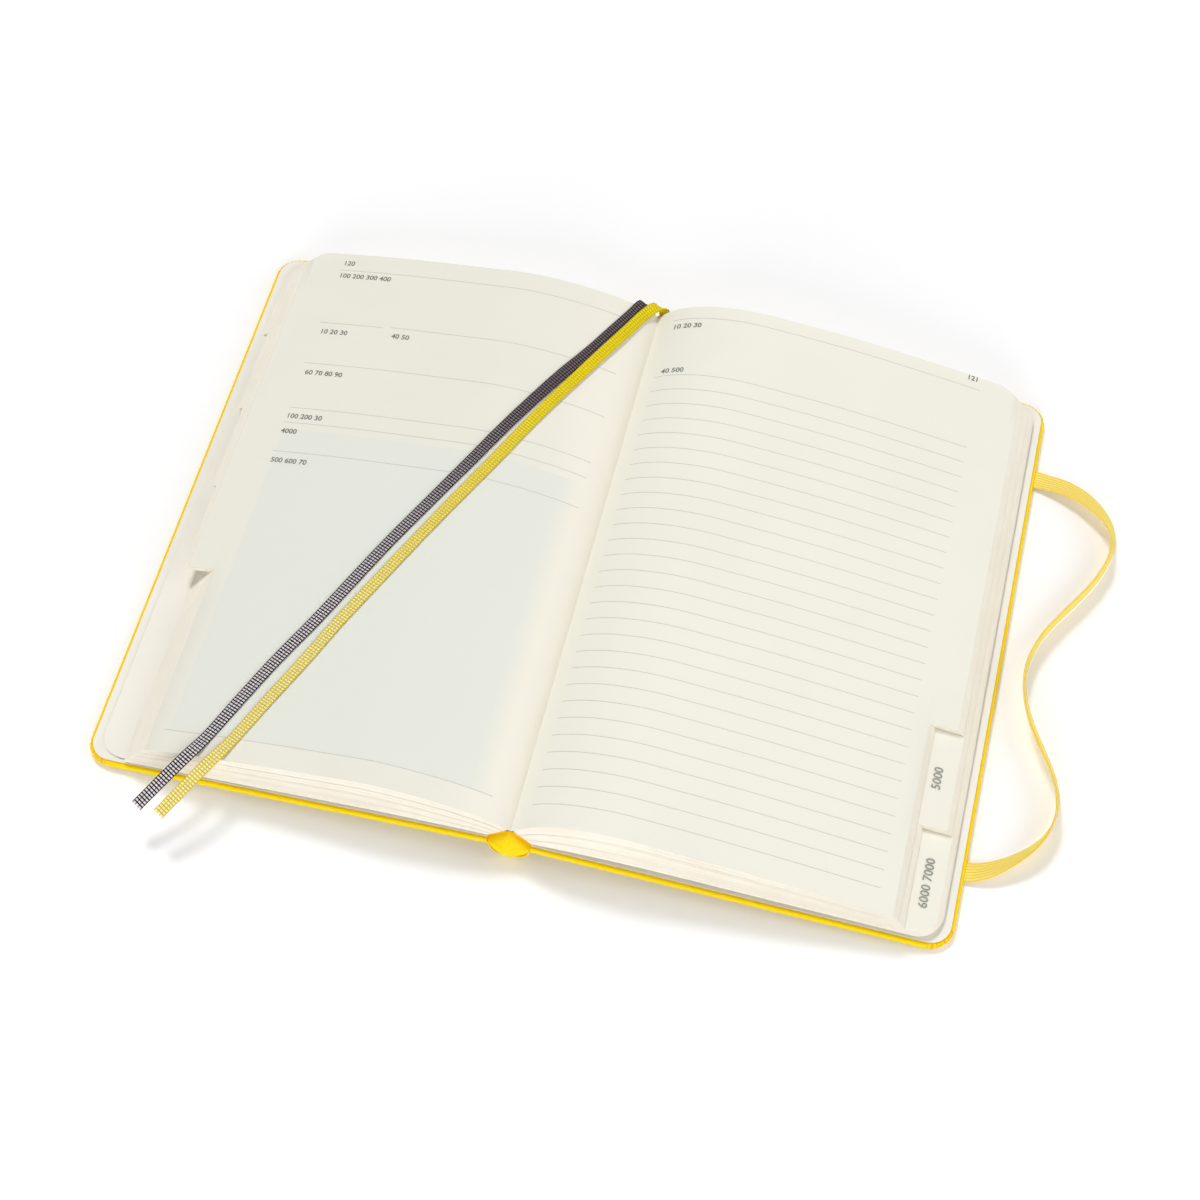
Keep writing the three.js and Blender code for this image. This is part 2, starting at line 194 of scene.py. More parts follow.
def make_mesh(
    name: str, points: np.ndarray, faces: Iterable[Sequence[int]], smooth: bool = True
) -> bpy.types.Object:
    """Makes an object at the origin from points in millimetres, with its faces outwards.

    Args:
        name: the object's name.
        points: rows of coordinates in millimetres.
        faces: lists of point numbers.
        smooth: whether the faces shade smoothly.

    Returns:
        The new object, linked to the scene.
    """
    mesh = raw_mesh(name, points, faces)
    with opened(mesh) as edit:
        bmesh.ops.recalc_face_normals(edit, faces=edit.faces)
    mesh.polygons.foreach_set("use_smooth", [smooth] * len(mesh.polygons))
    mesh.update()
    return add_object(name, mesh)


def sharpen(target: bpy.types.Object, degrees: float) -> None:
    """Keeps edges crisp where neighbouring faces turn by more than an angle."""
    limit = math.radians(degrees)
    with opened(target.data) as edit:
        for edge in edit.edges:
            edge.smooth = len(edge.link_faces) == 2 and edge.calc_face_angle(0) < limit


def dress(target: bpy.types.Object, material: bpy.types.Material) -> None:
    """Gives an object one material on all its faces."""
    target.data.materials.clear()
    target.data.materials.append(material)


def tube_faces(rings: int, around: int) -> list[list[int]]:
    """Joins rings of points into the faces of a closed tube with flat ends."""
    faces = []
    for ring in range(rings - 1):
        for k in range(around):
            low, nxt = ring * around, (k + 1) % around
            faces.append([low + k, low + nxt, low + around + nxt, low + around + k])
    faces.append(list(range(around)))
    faces.append([(rings - 1) * around + k for k in reversed(range(around))])
    return faces


def store(mesh: bpy.types.Mesh, name: str, values: np.ndarray, domain: str = "POINT") -> None:
    """Stores a number, or a direction where a row has three, on each point or face of a mesh."""
    rows = np.ascontiguousarray(values, np.float32)
    kind, word = ("FLOAT_VECTOR", "vector") if rows.ndim == 2 else ("FLOAT", "value")
    mesh.attributes.new(name, kind, domain).data.foreach_set(word, rows.ravel())


def add_uv(target: bpy.types.Object, across: np.ndarray, along: np.ndarray) -> None:
    """Writes a map of how far across and how far along each point lies, both in millimetres."""
    layer = target.data.uv_layers.new(name="UVMap")
    corners = np.zeros(len(target.data.loops), int)
    target.data.loops.foreach_get("vertex_index", corners)
    layer.data.foreach_set("uv", np.stack([across[corners], along[corners]], axis=1).ravel())


# Nodes


class Value:
    """A number in a node tree: a node's output that takes Python's operators."""

    def __init__(self, graph: "Graph", socket: bpy.types.NodeSocket) -> None:
        """Keeps the output and the tree that it belongs to."""
        self.graph = graph
        self.socket = socket

    def __add__(self, other: "Value | float") -> "Value":
        """Adds."""
        return self.graph.maths("ADD", self, other)

    __radd__ = __add__

    def __mul__(self, other: "Value | float") -> "Value":
        """Multiplies."""
        return self.graph.maths("MULTIPLY", self, other)

    __rmul__ = __mul__

    def __sub__(self, other: "Value | float") -> "Value":
        """Takes a value away."""
        return self.graph.maths("SUBTRACT", self, other)

    def __rsub__(self, other: float) -> "Value":
        """Takes this value away from a number."""
        return self.graph.maths("SUBTRACT", other, self)

    def __truediv__(self, other: "Value | float") -> "Value":
        """Divides."""
        return self.graph.maths("DIVIDE", self, other)

    def __abs__(self) -> "Value":
        """Drops the sign."""
        return self.graph.maths("ABSOLUTE", self)

    def fraction(self) -> "Value":
        """Keeps what follows the whole number."""
        return self.graph.maths("FRACT", self)

    def wave(self) -> "Value":
        """Swings between 0 and 1 with the sine of an angle in radians."""
        return self.graph.maths("SINE", self) * 0.5 + 0.5

    def power(self, exponent: float) -> "Value":
        """Raises to a power."""
        return self.graph.maths("POWER", self, exponent)

    def least(self, other: "Value | float") -> "Value":
        """Keeps the smaller of two."""
        return self.graph.maths("MINIMUM", self, other)

    def most(self, other: "Value | float") -> "Value":
        """Keeps the larger of two."""
        return self.graph.maths("MAXIMUM", self, other)

    def ramp(self, low: float, high: float) -> "Value":
        """Rises smoothly from 0 at low to 1 at high, and falls where low is the larger."""
        settings = {"interpolation_type": "SMOOTHSTEP"}
        sockets = {"Value": self, "From Min": low, "From Max": high}
        return Value(self.graph, self.graph.node("ShaderNodeMapRange", settings, sockets).outputs["Result"])

    def between(self, start: float, end: float, blur: float) -> "Value":
        """Gives 1 between two ends and 0 outside them, with that much blur on each side of an end."""
        return self.ramp(start - blur, start + blur) * self.ramp(end + blur, end - blur)


Shade = bpy.types.NodeSocket | str


def paint(code: str) -> tuple[float, float, float, float]:
    """Turns a colour written as #rrggbb into the light that it stands for."""
    shares = [int(code[k : k + 2], 16) / 255 for k in (1, 3, 5)]
    light = [s / 12.92 if s <= 0.04045 else ((s + 0.055) / 1.055) ** 2.4 for s in shares]
    return (*light, 1.0)


class Graph:
    """A tree of nodes, and the one way in which nodes are added to it."""

    def __init__(self, tree: bpy.types.NodeTree) -> None:
        """Keeps the tree."""
        self.tree = tree

    def node(self, kind: str, settings: dict | None = None, sockets: dict | None = None) -> bpy.types.Node:
        """Adds a node, sets it up, and fills or links its inputs.

        Args:
            kind: the node's type.
            settings: its own properties, which are set first.
            sockets: a value, a colour's code or an output for each input, by name or number.

        Returns:
            The new node.
        """
        made = self.tree.nodes.new(kind)
        for name, value in (settings or {}).items():
            setattr(made, name, value)
        for name, value in (sockets or {}).items():
            source = value.socket if isinstance(value, Value) else value
            if isinstance(source, bpy.types.NodeSocket):
                self.tree.links.new(source, made.inputs[name])
            elif isinstance(source, str) and source.startswith("#"):
                made.inputs[name].default_value = paint(source)
            else:
                made.inputs[name].default_value = source
        return made

    def maths(self, operation: str, *values: "Value | float") -> Value:
        """Adds one Math node."""
        node = self.node("ShaderNodeMath", {"operation": operation}, dict(enumerate(values)))
        return Value(self, node.outputs[0])


class Bench(Graph):
    """Builds one material, node by node."""

    def __init__(self, name: str) -> None:
        """Starts an empty material of that name."""
        self.material = bpy.data.materials.new(name)
        self.material.use_nodes = True
        super().__init__(self.material.node_tree)
        self.tree.nodes.clear()

    def _axes(self, source: str) -> list[Value]:
        """Splits one kind of texture coordinates into its axes."""
        where = self.node("ShaderNodeTexCoord").outputs[source]
        split = self.node("ShaderNodeSeparateXYZ", None, {"Vector": where})
        return [Value(self, axis) for axis in split.outputs]

    def place(self) -> tuple[Value, ...]:
        """Gives the three Object coordinates in millimetres."""
        return tuple(axis * (1 / MM) for axis in self._axes("Object"))

    def across_and_along(self) -> tuple[Value, Value]:
        """Gives the two coordinates of the piece's own map, in millimetres."""
        across, along, _ = self._axes("UV")
        return across, along

    def attribute(self, name: str) -> Value:
        """Gives a number stored on the mesh."""
        node = self.node("ShaderNodeAttribute", {"attribute_name": name})
        return Value(self, node.outputs["Fac"])

    def noise(self, scale: float, detail: float = 3.0, stretch: tuple = (1, 1, 1)) -> Value:
        """Gives a noise of the size of 1/scale millimetres, drawn out along each axis by stretch.

        Args:
            scale: how many features there are to a millimetre.
            detail: how many finer layers are added.
            stretch: how much longer each feature is along X, Y and Z.

        Returns:
            A value near 0.5.
        """
        where = self.node("ShaderNodeTexCoord").outputs["Object"]
        sizes = tuple(scale / MM / s for s in stretch)
        spread = self.node("ShaderNodeMapping", None, {"Vector": where, "Scale": sizes}).outputs[0]
        node = self.node("ShaderNodeTexNoise", None, {"Vector": spread, "Scale": 1.0, "Detail": detail})
        return Value(self, node.outputs["Fac"])

    def patches(self, scale: float, detail: float, low: float, high: float) -> Value:
        """Gives an even noise that rises from 0 at low to 1 at high."""
        return self.noise(scale, detail).ramp(low, high)

    def blend(self, factor: Value, first: Shade, second: Shade) -> bpy.types.NodeSocket:
        """Goes from the first colour to the second as the factor goes from 0 to 1."""
        colours = {0: factor, 6: first, 7: second}
        return self.node("ShaderNodeMix", {"data_type": "RGBA"}, colours).outputs[2]

    def bump(self, height: Value, reach: float, strength: float = 1.0) -> bpy.types.NodeSocket:
        """Turns a height from 0 to 1 into a bump of so many millimetres."""
        sockets = {"Height": height, "Distance": reach * MM, "Strength": strength}
        return self.node("ShaderNodeBump", None, sockets).outputs["Normal"]

    def finish(
        self,
        colour: bpy.types.NodeSocket,
        roughness: Value | float,
        normal: bpy.types.NodeSocket,
        specular: float = 0.5,
        sheen: float = 0.0,
    ) -> bpy.types.Material:
        """Ends the material in one shader.

        Args:
            colour: the base colour.
            roughness: how rough the surface is.
            normal: the bump.
            specular: the specular level.
            sheen: the weight of the sheen.

        Returns:
            The finished material.
        """
        shader = self.node("ShaderNodeBsdfPrincipled", None, {
            "Base Color": colour,
            "Roughness": roughness,
            "Specular IOR Level": specular,
            "Sheen Weight": sheen,
            "Normal": normal,
        })
        self.node("ShaderNodeOutputMaterial", None, {"Surface": shader.outputs[0]})
        return self.material


class Group(Graph):
    """A geometry node group that turns a carrier mesh into a finished piece."""

    def __init__(self, name: str, inputs: dict[str, str]) -> None:
        """Starts the group: geometry in and out, and further inputs by name and kind."""
        super().__init__(bpy.data.node_groups.new(name, "GeometryNodeTree"))
        face = self.tree.interface
        for word, kind in {"Geometry": "Geometry", **inputs, "Material": "Material"}.items():
            face.new_socket(word, in_out="INPUT", socket_type=f"NodeSocket{kind}")
        face.new_socket("Geometry", in_out="OUTPUT", socket_type="NodeSocketGeometry")
        self.entry = self.node("NodeGroupInput").outputs

    def given(self, name: str) -> Value:
        """Gives one of the group's inputs as a number."""
        return Value(self, self.entry[name])

    def stored(self, name: str, kind: str = "FLOAT") -> Value:
        """Reads what is stored on the carrier's points."""
        read = self.node("GeometryNodeInputNamedAttribute", {"data_type": kind}, {"Name": name})
        return Value(self, read.outputs[0])

    def give(self, geometry: bpy.types.NodeSocket) -> None:
        """Dresses what was made and gives it out."""
        sockets = {"Geometry": geometry, "Material": self.entry["Material"]}
        dressed = self.node("GeometryNodeSetMaterial", None, sockets)
        self.node("NodeGroupOutput", None, {0: dressed.outputs[0]})

    def run(self, name: str, mesh: bpy.types.Mesh, inputs: dict) -> bpy.types.Object:
        """Runs the group on a mesh, and turns what it makes into a plain mesh.

        Args:
            name: the new object's name.
            mesh: what the group works on.
            inputs: a value for each further input of the group.

        Returns:
            What was made, as one object.
        """
        carrier = add_object(mesh.name, mesh)
        modifier = carrier.modifiers.new(self.tree.name, "NODES")
        modifier.node_group = self.tree
        for item in self.tree.interface.items_tree:
            if item.in_out == "INPUT" and item.name in inputs:
                modifier[item.identifier] = inputs[item.name]
        made = evaluated_mesh(carrier)
        made.name = name
        return add_object(name, made)


def evaluated_mesh(carrier: bpy.types.Object) -> bpy.types.Mesh:
    """Turns what a carrier evaluates to into a plain mesh, and removes the carrier."""
    bpy.context.view_layer.update()
    seen = carrier.evaluated_get(bpy.context.evaluated_depsgraph_get())
    mesh = bpy.data.meshes.new_from_object(seen)
    carrier.modifiers.clear()
    bpy.data.objects.remove(carrier)
    return mesh


# Finishes


@dataclass(frozen=True)
class Leatherette:
    """The smooth matt cloth of the case, with a fine grain, and painted shade where it folds."""

    colour: str = "#ffe000"
    deep: str = "#ffda00"
    # painted shade: the orange fold_shade colour darkens the cloth's corner folds, its inner turned edge and
    # the spine caps' upper rims
    fold_shade: str = "#f8b400"
    roughness: float = 0.5
    grain: float = 1.7
    grain_depth: float = 0.05
    grain_tone: float = 0.3
    cloud_tone: float = 0.35

    def material(self) -> bpy.types.Material:
        """Builds the finish."""
        bench = Bench("cover_leatherette")
        pebbles = bench.noise(self.grain, 4)
        clouds = bench.patches(0.05, 2, 0.35, 0.7)
        tone = (clouds * self.cloud_tone + pebbles.ramp(0.62, 0.4) * self.grain_tone).least(1.0)
        cloth = bench.blend(tone, self.colour, self.deep)
        # painted shade: the stored fold_shade amount blends the cloth towards the fold_shade colour
        colour = bench.blend(bench.attribute("fold_shade"), cloth, self.fold_shade)
        roughness = self.roughness + (pebbles - 0.5) * 0.2
        return bench.finish(colour, roughness, bench.bump(pebbles, self.grain_depth, 0.5), specular=0.15)


@dataclass(frozen=True)
class Paper:
    """Uncoated ivory paper."""

    colour: str = "#f3f1e4"
    warm: str = "#f6f3e6"
    roughness: float = 0.75
    specular: float = 0.25
    cloud_tone: float = 0.7
    fibre_tone: float = 0.3

    def fibres(self, bench: Bench) -> Value:
        """Marks the fibres, which lie along X."""
        return bench.noise(2.2, 3, (3, 1, 1)).ramp(0.3, 0.75)

    def ground(self, bench: Bench) -> bpy.types.NodeSocket:
        """Gives the paper's own colour, with its faint clouds and fibres."""
        clouds = bench.patches(0.03, 2, 0.35, 0.65)
        tone = (clouds * self.cloud_tone + self.fibres(bench) * self.fibre_tone).least(1.0)
        return bench.blend(tone, self.colour, self.warm)

    def tooth(self, bench: Bench) -> bpy.types.NodeSocket:
        """Gives the fine tooth of the sheet."""
        return bench.bump(bench.noise(3.0, 3), 0.02, 0.35)

    def material(self, name: str) -> bpy.types.Material:
        """Builds the plain finish."""
        bench = Bench(name)
        roughness = self.roughness + (bench.noise(1.0, 2) - 0.5) * 0.1
        return bench.finish(self.ground(bench), roughness, self.tooth(bench), self.specular)


@dataclass(frozen=True)
class LeafEdges:
    """The leaves of a section: faces like the pages, and trimmed edges with their fine lines."""

    paper: Paper
    face: str = "#f5f2e4"
    edge: str = "#fff8ea"
    line: str = "#f3e3c8"
    leaves: float = 230.0
    drift: float = 9.0
    line_tone: float = 0.55

    def material(self) -> bpy.types.Material:
        """Builds the finish."""
        bench = Bench("leaf_edges")
        rim = bench.attribute("rim")
        drift = bench.noise(0.02, 2) * self.drift
        wave = ((bench.attribute("depth") * self.leaves + drift) * math.tau).wave()
        lines = wave.power(4) * bench.patches(0.12, 3, 0.4, 0.62)
        cut = bench.blend(lines * self.line_tone, self.edge, self.line)
        flat = bench.blend(self.paper.fibres(bench) * 0.2, self.face, self.paper.colour)
        normal = bench.bump(wave * rim, 0.04, 0.4)
        return bench.finish(bench.blend(rim, flat, cut), 0.75 + rim * 0.1, normal, specular=0.2)


@dataclass(frozen=True)
class Rule:
    """One printed line across a page: its height on the page and its two ends."""

    y: float
    start: float
    end: float


@dataclass(frozen=True)
class Tint:
    """A tinted panel: its four sides on the page."""

    left: float
    right: float
    tail: float
    head: float


@dataclass(frozen=True)
class Ruling:
    """Even lines down a page: the first one's height, their pitch, their number and their ends."""

    first: float
    pitch: float
    count: int
    start: float
    end: float


@dataclass(frozen=True)
class PrintedPage:
    """A page with printed rules, a tinted panel or a ruling where it has one, and painted light towards the
    gutter.
    """

    name: str
    paper: Paper
    rules: tuple[Rule, ...]
    tint: Tint | None = None
    ruling: Ruling | None = None
    ink: str = "#bfc1b6"
    tint_colour: str = "#e9ebe1"
    tint_tone: float = 0.85
    tint_blur: float = 0.2
    tint_fade: float = 9.0
    line: float = 0.14
    line_blur: float = 0.1
    gutter: Point = (2.0, 30.0)
    # painted light: the colour that the paper turns to towards the gutter
    gutter_painted_light: str = "#f3f1e4"
    gutter_light_tone: float = 0.7

    def _line(self, offset: Value, x: Value, start: float, end: float) -> Value:
        """Marks a thin line between two ends."""
        thin = abs(offset).ramp(self.line * 1.5, self.line * 0.5)
        return thin * x.between(start, end, self.line_blur)

    def _marks(self, x: Value, y: Value) -> Value:
        """Marks all the printed lines."""
        marks = [self._line(y - rule.y, x, rule.start, rule.end) for rule in self.rules]
        if self.ruling:
            pitch = self.ruling.pitch
            step = (self.ruling.first + pitch / 2 - y) / pitch
            line = self._line((step.fraction() - 0.5) * pitch, x, self.ruling.start, self.ruling.end)
            marks.append(line * step.between(0, self.ruling.count, 0.01))
        return reduce(Value.most, marks)

    def material(self) -> bpy.types.Material:
        """Builds the finish."""
        bench = Bench(self.name)
        x, y, _ = bench.place()
        mark = self._marks(x, y)
        # painted light: the paper blends towards the gutter_painted_light colour near the gutter
        shaded = abs(x).ramp(self.gutter[1], self.gutter[0]) * self.gutter_light_tone
        ground = bench.blend(shaded, self.paper.ground(bench), self.gutter_painted_light)
        if self.tint:
            left = x.ramp(self.tint.left - self.tint_blur, self.tint.left + self.tint_blur)
            sides = left * x.ramp(self.tint.right, self.tint.right - self.tint_fade)
            panel = sides * y.between(self.tint.tail, self.tint.head, self.tint_blur)
            ground = bench.blend(panel * self.tint_tone, ground, self.tint_colour)
        pressed = 0.45 + bench.patches(2.5, 2, 0.2, 0.6) * 0.3
        colour = bench.blend(mark * pressed, ground, self.ink)
        roughness = self.paper.roughness - mark * 0.05
        return bench.finish(colour, roughness, self.paper.tooth(bench), self.paper.specular)


@dataclass(frozen=True)
class Ink:
    """Printed figures."""

    name: str = "printed_ink"
    colour: str = "#6f7069"
    worn: str = "#b9b9ae"

    def material(self) -> bpy.types.Material:
        """Builds the finish, a little uneven as print on open paper is."""
        bench = Bench(self.name)
        patches = bench.patches(6.0, 2, 0.3, 0.8)
        colour = bench.blend(patches * 0.4, self.colour, self.worn)
        return bench.finish(colour, 0.7, bench.bump(patches, 0.01, 0.3), specular=0.2)


@dataclass(frozen=True)
class Elastic:
    """Woven elastic with lengthwise ribs over rubber cores, and painted shade in the grooves between the
    ribs.
    """

    colour: str = "#ffe96c"
    # painted shade: the orange colour of the grooves between the ribs
    groove_shade: str = "#f4a83a"
    ribs: float = 7.0
    width: float = 7.0
    pick: float = 0.55

    def material(self) -> bpy.types.Material:
        """Builds the finish."""
        bench = Bench("elastic_weave")
        across, along = bench.across_and_along()
        wave = (across * (math.tau * self.ribs / self.width)).wave()
        picks = (along * (math.tau / self.pick) + wave * 1.5).wave()
        # painted shade: the weave darkens towards the groove_shade colour between the ribs
        colour = bench.blend((1 - wave).power(4) * 0.8, self.colour, self.groove_shade)
        normal = bench.bump(wave * 0.7 + picks * 0.3, 0.12, 0.6)
        return bench.finish(colour, 0.55 + picks * 0.15, normal, sheen=0.05)


@dataclass(frozen=True)
class RibbonThread:
    """A ribbon's threads, and the lighter gaps between them that open towards its cut end."""

    name: str
    thread: str
    deep: str
    gap: str
    gap_open: str
    length: float
    opening: Point = (0.25, 0.75)
    specular: float = 0.15

    def threads(self, name: str, share: float) -> bpy.types.Material:
        """Builds the finish of the raised threads.

        Args:
            name: what the threads are.
            share: how far they go from the thread's colour to the deeper one.

        Returns:
            The finish.
        """
        bench = Bench(f"{self.name}_{name}")
        twist = bench.patches(3.5, 2, 0.3, 0.7)
        colour = bench.blend(twist * 0.3 + share, self.thread, self.deep)
        return bench.finish(colour, 0.6 + twist * 0.2, bench.bump(twist, 0.05, 0.5), self.specular)

    def ground(self) -> bpy.types.Material:
        """Builds the finish of the flat weave between the threads."""
        bench = Bench(f"{self.name}_weave")
        _, along = bench.across_and_along()
        opened = along.ramp(*(self.length * share for share in self.opening))
        grain = bench.patches(4.0, 2, 0.3, 0.7)
        colour = bench.blend(grain * 0.2, bench.blend(opened, self.gap, self.gap_open), self.thread)
        return bench.finish(colour, 0.7 + grain * 0.1, bench.bump(grain, 0.04, 0.4), self.specular)


@dataclass(frozen=True)
class Greyboard:
    """Pressed pulp board, seen only if the case is opened up."""

    colour: str = "#9c9384"
    fleck: str = "#7d7568"

    def material(self) -> bpy.types.Material:
        """Builds the finish."""
        bench = Bench("pressed_greyboard")
        flecks = bench.patches(1.1, 5, 0.45, 0.7)
        colour = bench.blend(flecks, self.colour, self.fleck)
        return bench.finish(colour, 0.85, bench.bump(flecks, 0.05, 0.4))


@dataclass(frozen=True)
class Gauze:
    """Open cotton gauze stiffened with glue."""

    colour: str = "#ded6c2"
    gap: str = "#b9ad92"
    pitch: float = 1.1

    def material(self) -> bpy.types.Material:
        """Builds the finish."""
        bench = Bench("binding_gauze")
        x, y, z = (axis * (math.tau / self.pitch) for axis in bench.place())
        thread = y.wave().most((x + z).wave()).power(2)
        return bench.finish(bench.blend(thread, self.gap, self.colour), 0.9, bench.bump(thread, 0.15, 0.7))


# The camera and the table


@dataclass(frozen=True)
class Camera:
    """The photograph's viewpoint, from the corners of the covers and pages in it."""

    place: tuple = (94.255, -441.65, 689.405)
    yaw: float = -11.5423
    pitch: float = 57.2634
    roll: float = 2.1671
    lens: float = 75.438
    sensor: float = 36.0
    clip: Point = (0.01, 20.0)

    def build(self) -> None:
        """Makes the camera and hands it to the scene."""
        yaw, pitch, roll = (math.radians(a) for a in (self.yaw, self.pitch, self.roll))
        flat = math.cos(pitch)
        ahead = Vector((math.sin(yaw) * flat, math.cos(yaw) * flat, -math.sin(pitch)))
        side = ahead.cross(Vector((0, 0, 1))).normalized()
        upright = side.cross(ahead)
        right = side * math.cos(roll) + upright * math.sin(roll)
        up = upright * math.cos(roll) - side * math.sin(roll)
        data = bpy.data.cameras.new("camera")
        data.lens, data.sensor_width = self.lens, self.sensor
        data.clip_start, data.clip_end = self.clip
        seen = add_object("camera", data)
        turn = Matrix((right, up, -ahead)).transposed().to_4x4()
        seen.matrix_world = Matrix.Translation(Vector(self.place) * MM) @ turn
        bpy.context.scene.camera = seen


@dataclass(frozen=True)
class Lamp:
    """A square soft lamp: where it is, in metres, how wide, and how strong."""

    name: str
    place: tuple[float, float, float]
    width: float
    power: float

    def build(self) -> None:
        """Makes the lamp, which faces the middle of the table."""
        data = bpy.data.lights.new(self.name, "AREA")
        data.shape, data.size, data.energy = "SQUARE", self.width, self.power
        made = add_object(self.name, data)
        made.location = self.place
        made.rotation_euler = (-Vector(self.place)).to_track_quat("-Z", "Y").to_euler()


@dataclass(frozen=True)
class Studio:
    """A pale table, whose width is in metres, under an even sky and four soft lamps."""

    floor: float = 12.0
    floor_drop: float = 0.25
    floor_colour: str = "#f9f9fa"
    sky: float = 0.24
    lift: float = 0.11
    lamps: tuple[Lamp, ...] = (
        Lamp("key_lamp", (-1.2, 1.6, 3.0), 0.9, 63.0),
        Lamp("side_lamp", (1.5, 0.2, 0.8), 1.2, 10.0),
        Lamp("front_lamp", (0.1, -1.5, 0.4), 1.2, 16.0),
        Lamp("left_lamp", (-1.3, -0.2, 0.9), 1.2, 2.5),
    )

    def _floor_material(self) -> bpy.types.Material:
        """White to the camera and in reflections, and still shaded by what stands on it."""
        bench = Bench("table_top")
        rays = bench.node("ShaderNodeLightPath").outputs
        kinds = ("Is Camera Ray", "Is Glossy Ray", "Is Transmission Ray")
        seen = reduce(Value.most, [Value(bench, rays[kind]) for kind in kinds])
        shader = bench.node("ShaderNodeBsdfDiffuse", None, {"Color": self.floor_colour})
        glow = bench.node("ShaderNodeEmission", None, {"Color": "#ffffff", "Strength": seen * self.lift})
        both = bench.node("ShaderNodeAddShader", None, {0: shader.outputs[0], 1: glow.outputs[0]})
        bench.node("ShaderNodeOutputMaterial", None, {"Surface": both.outputs[0]})
        return bench.material

    def build(self) -> None:
        """Makes the table, the sky and the lamps."""
        scene = bpy.context.scene
        scene.view_settings.view_transform = "Standard"
        half = self.floor / MM / 2
        signs = ((-1, -1), (1, -1), (1, 1), (-1, 1))
        corners = np.array([(half * x, half * y, -self.floor_drop) for x, y in signs])
        table = make_mesh("table_top", corners, [[0, 1, 2, 3]], smooth=False)
        dress(table, self._floor_material())
        scene.world = bpy.data.worlds.new("sky")
        scene.world.use_nodes = True
        sky = next(n for n in scene.world.node_tree.nodes if n.type == "BACKGROUND")
        sky.inputs["Color"].default_value = paint("#ffffff")
        sky.inputs["Strength"].default_value = self.sky
        for lamp in self.lamps:
            lamp.build()


# Bands and ribbons


BAND_CRISP = 70.0


@dataclass(frozen=True)
class Route:
    """A band's way: rows of a place on its middle line and the way that its width faces."""

    rows: tuple[tuple[float, float, float, float, float, float], ...]

    def frames(self, steps: int) -> tuple[np.ndarray, np.ndarray, np.ndarray]:
        """Follows the route in even steps.

        Args:
            steps: how many steps there are.

        Returns:
            The places, the directions of the width, and the directions out of the flat side.
        """
        rows = np.array(self.rows, float)
        line, widths = flowing(rows[:, :3]), flowing(rows[:, 3:])
        run = run_along(line)
        found = read_at(np.linspace(0, run[-1], steps + 1), run, np.hstack([line, widths]))
        places, width = found[:, :3], found[:, 3:]
        ahead = unit(np.gradient(places, axis=0))
        width = unit(width - ahead * (width * ahead).sum(axis=1)[:, None])
        return places, width, np.cross(ahead, width)

    def length(self) -> float:
        """Gives the real length of the route in millimetres."""
        return length_of(flowing(np.array(self.rows, float)[:, :3]))


def sweep(name: str, route: Route, steps: int, outline: np.ndarray) -> bpy.types.Object:
    """Runs a flat outline along a route, and maps it in millimetres.

    Args:
        name: the object's name.
        route: the way that it goes.
        steps: how many steps there are along it.
        outline: rows of how far across and how far out.

    Returns:
        The closed tube.
    """
    length, around = route.length(), len(outline)
    rings = [place + outline[:, :1] * width + outline[:, 1:] * out
             for place, width, out in zip(*route.frames(steps))]
    made = make_mesh(name, np.vstack(rings), tube_faces(len(rings), around))
    along = np.repeat(length * np.arange(steps + 1) / steps, around)
    add_uv(made, np.tile(outline[:, 0], len(rings)), along)
    sharpen(made, BAND_CRISP)
    return made


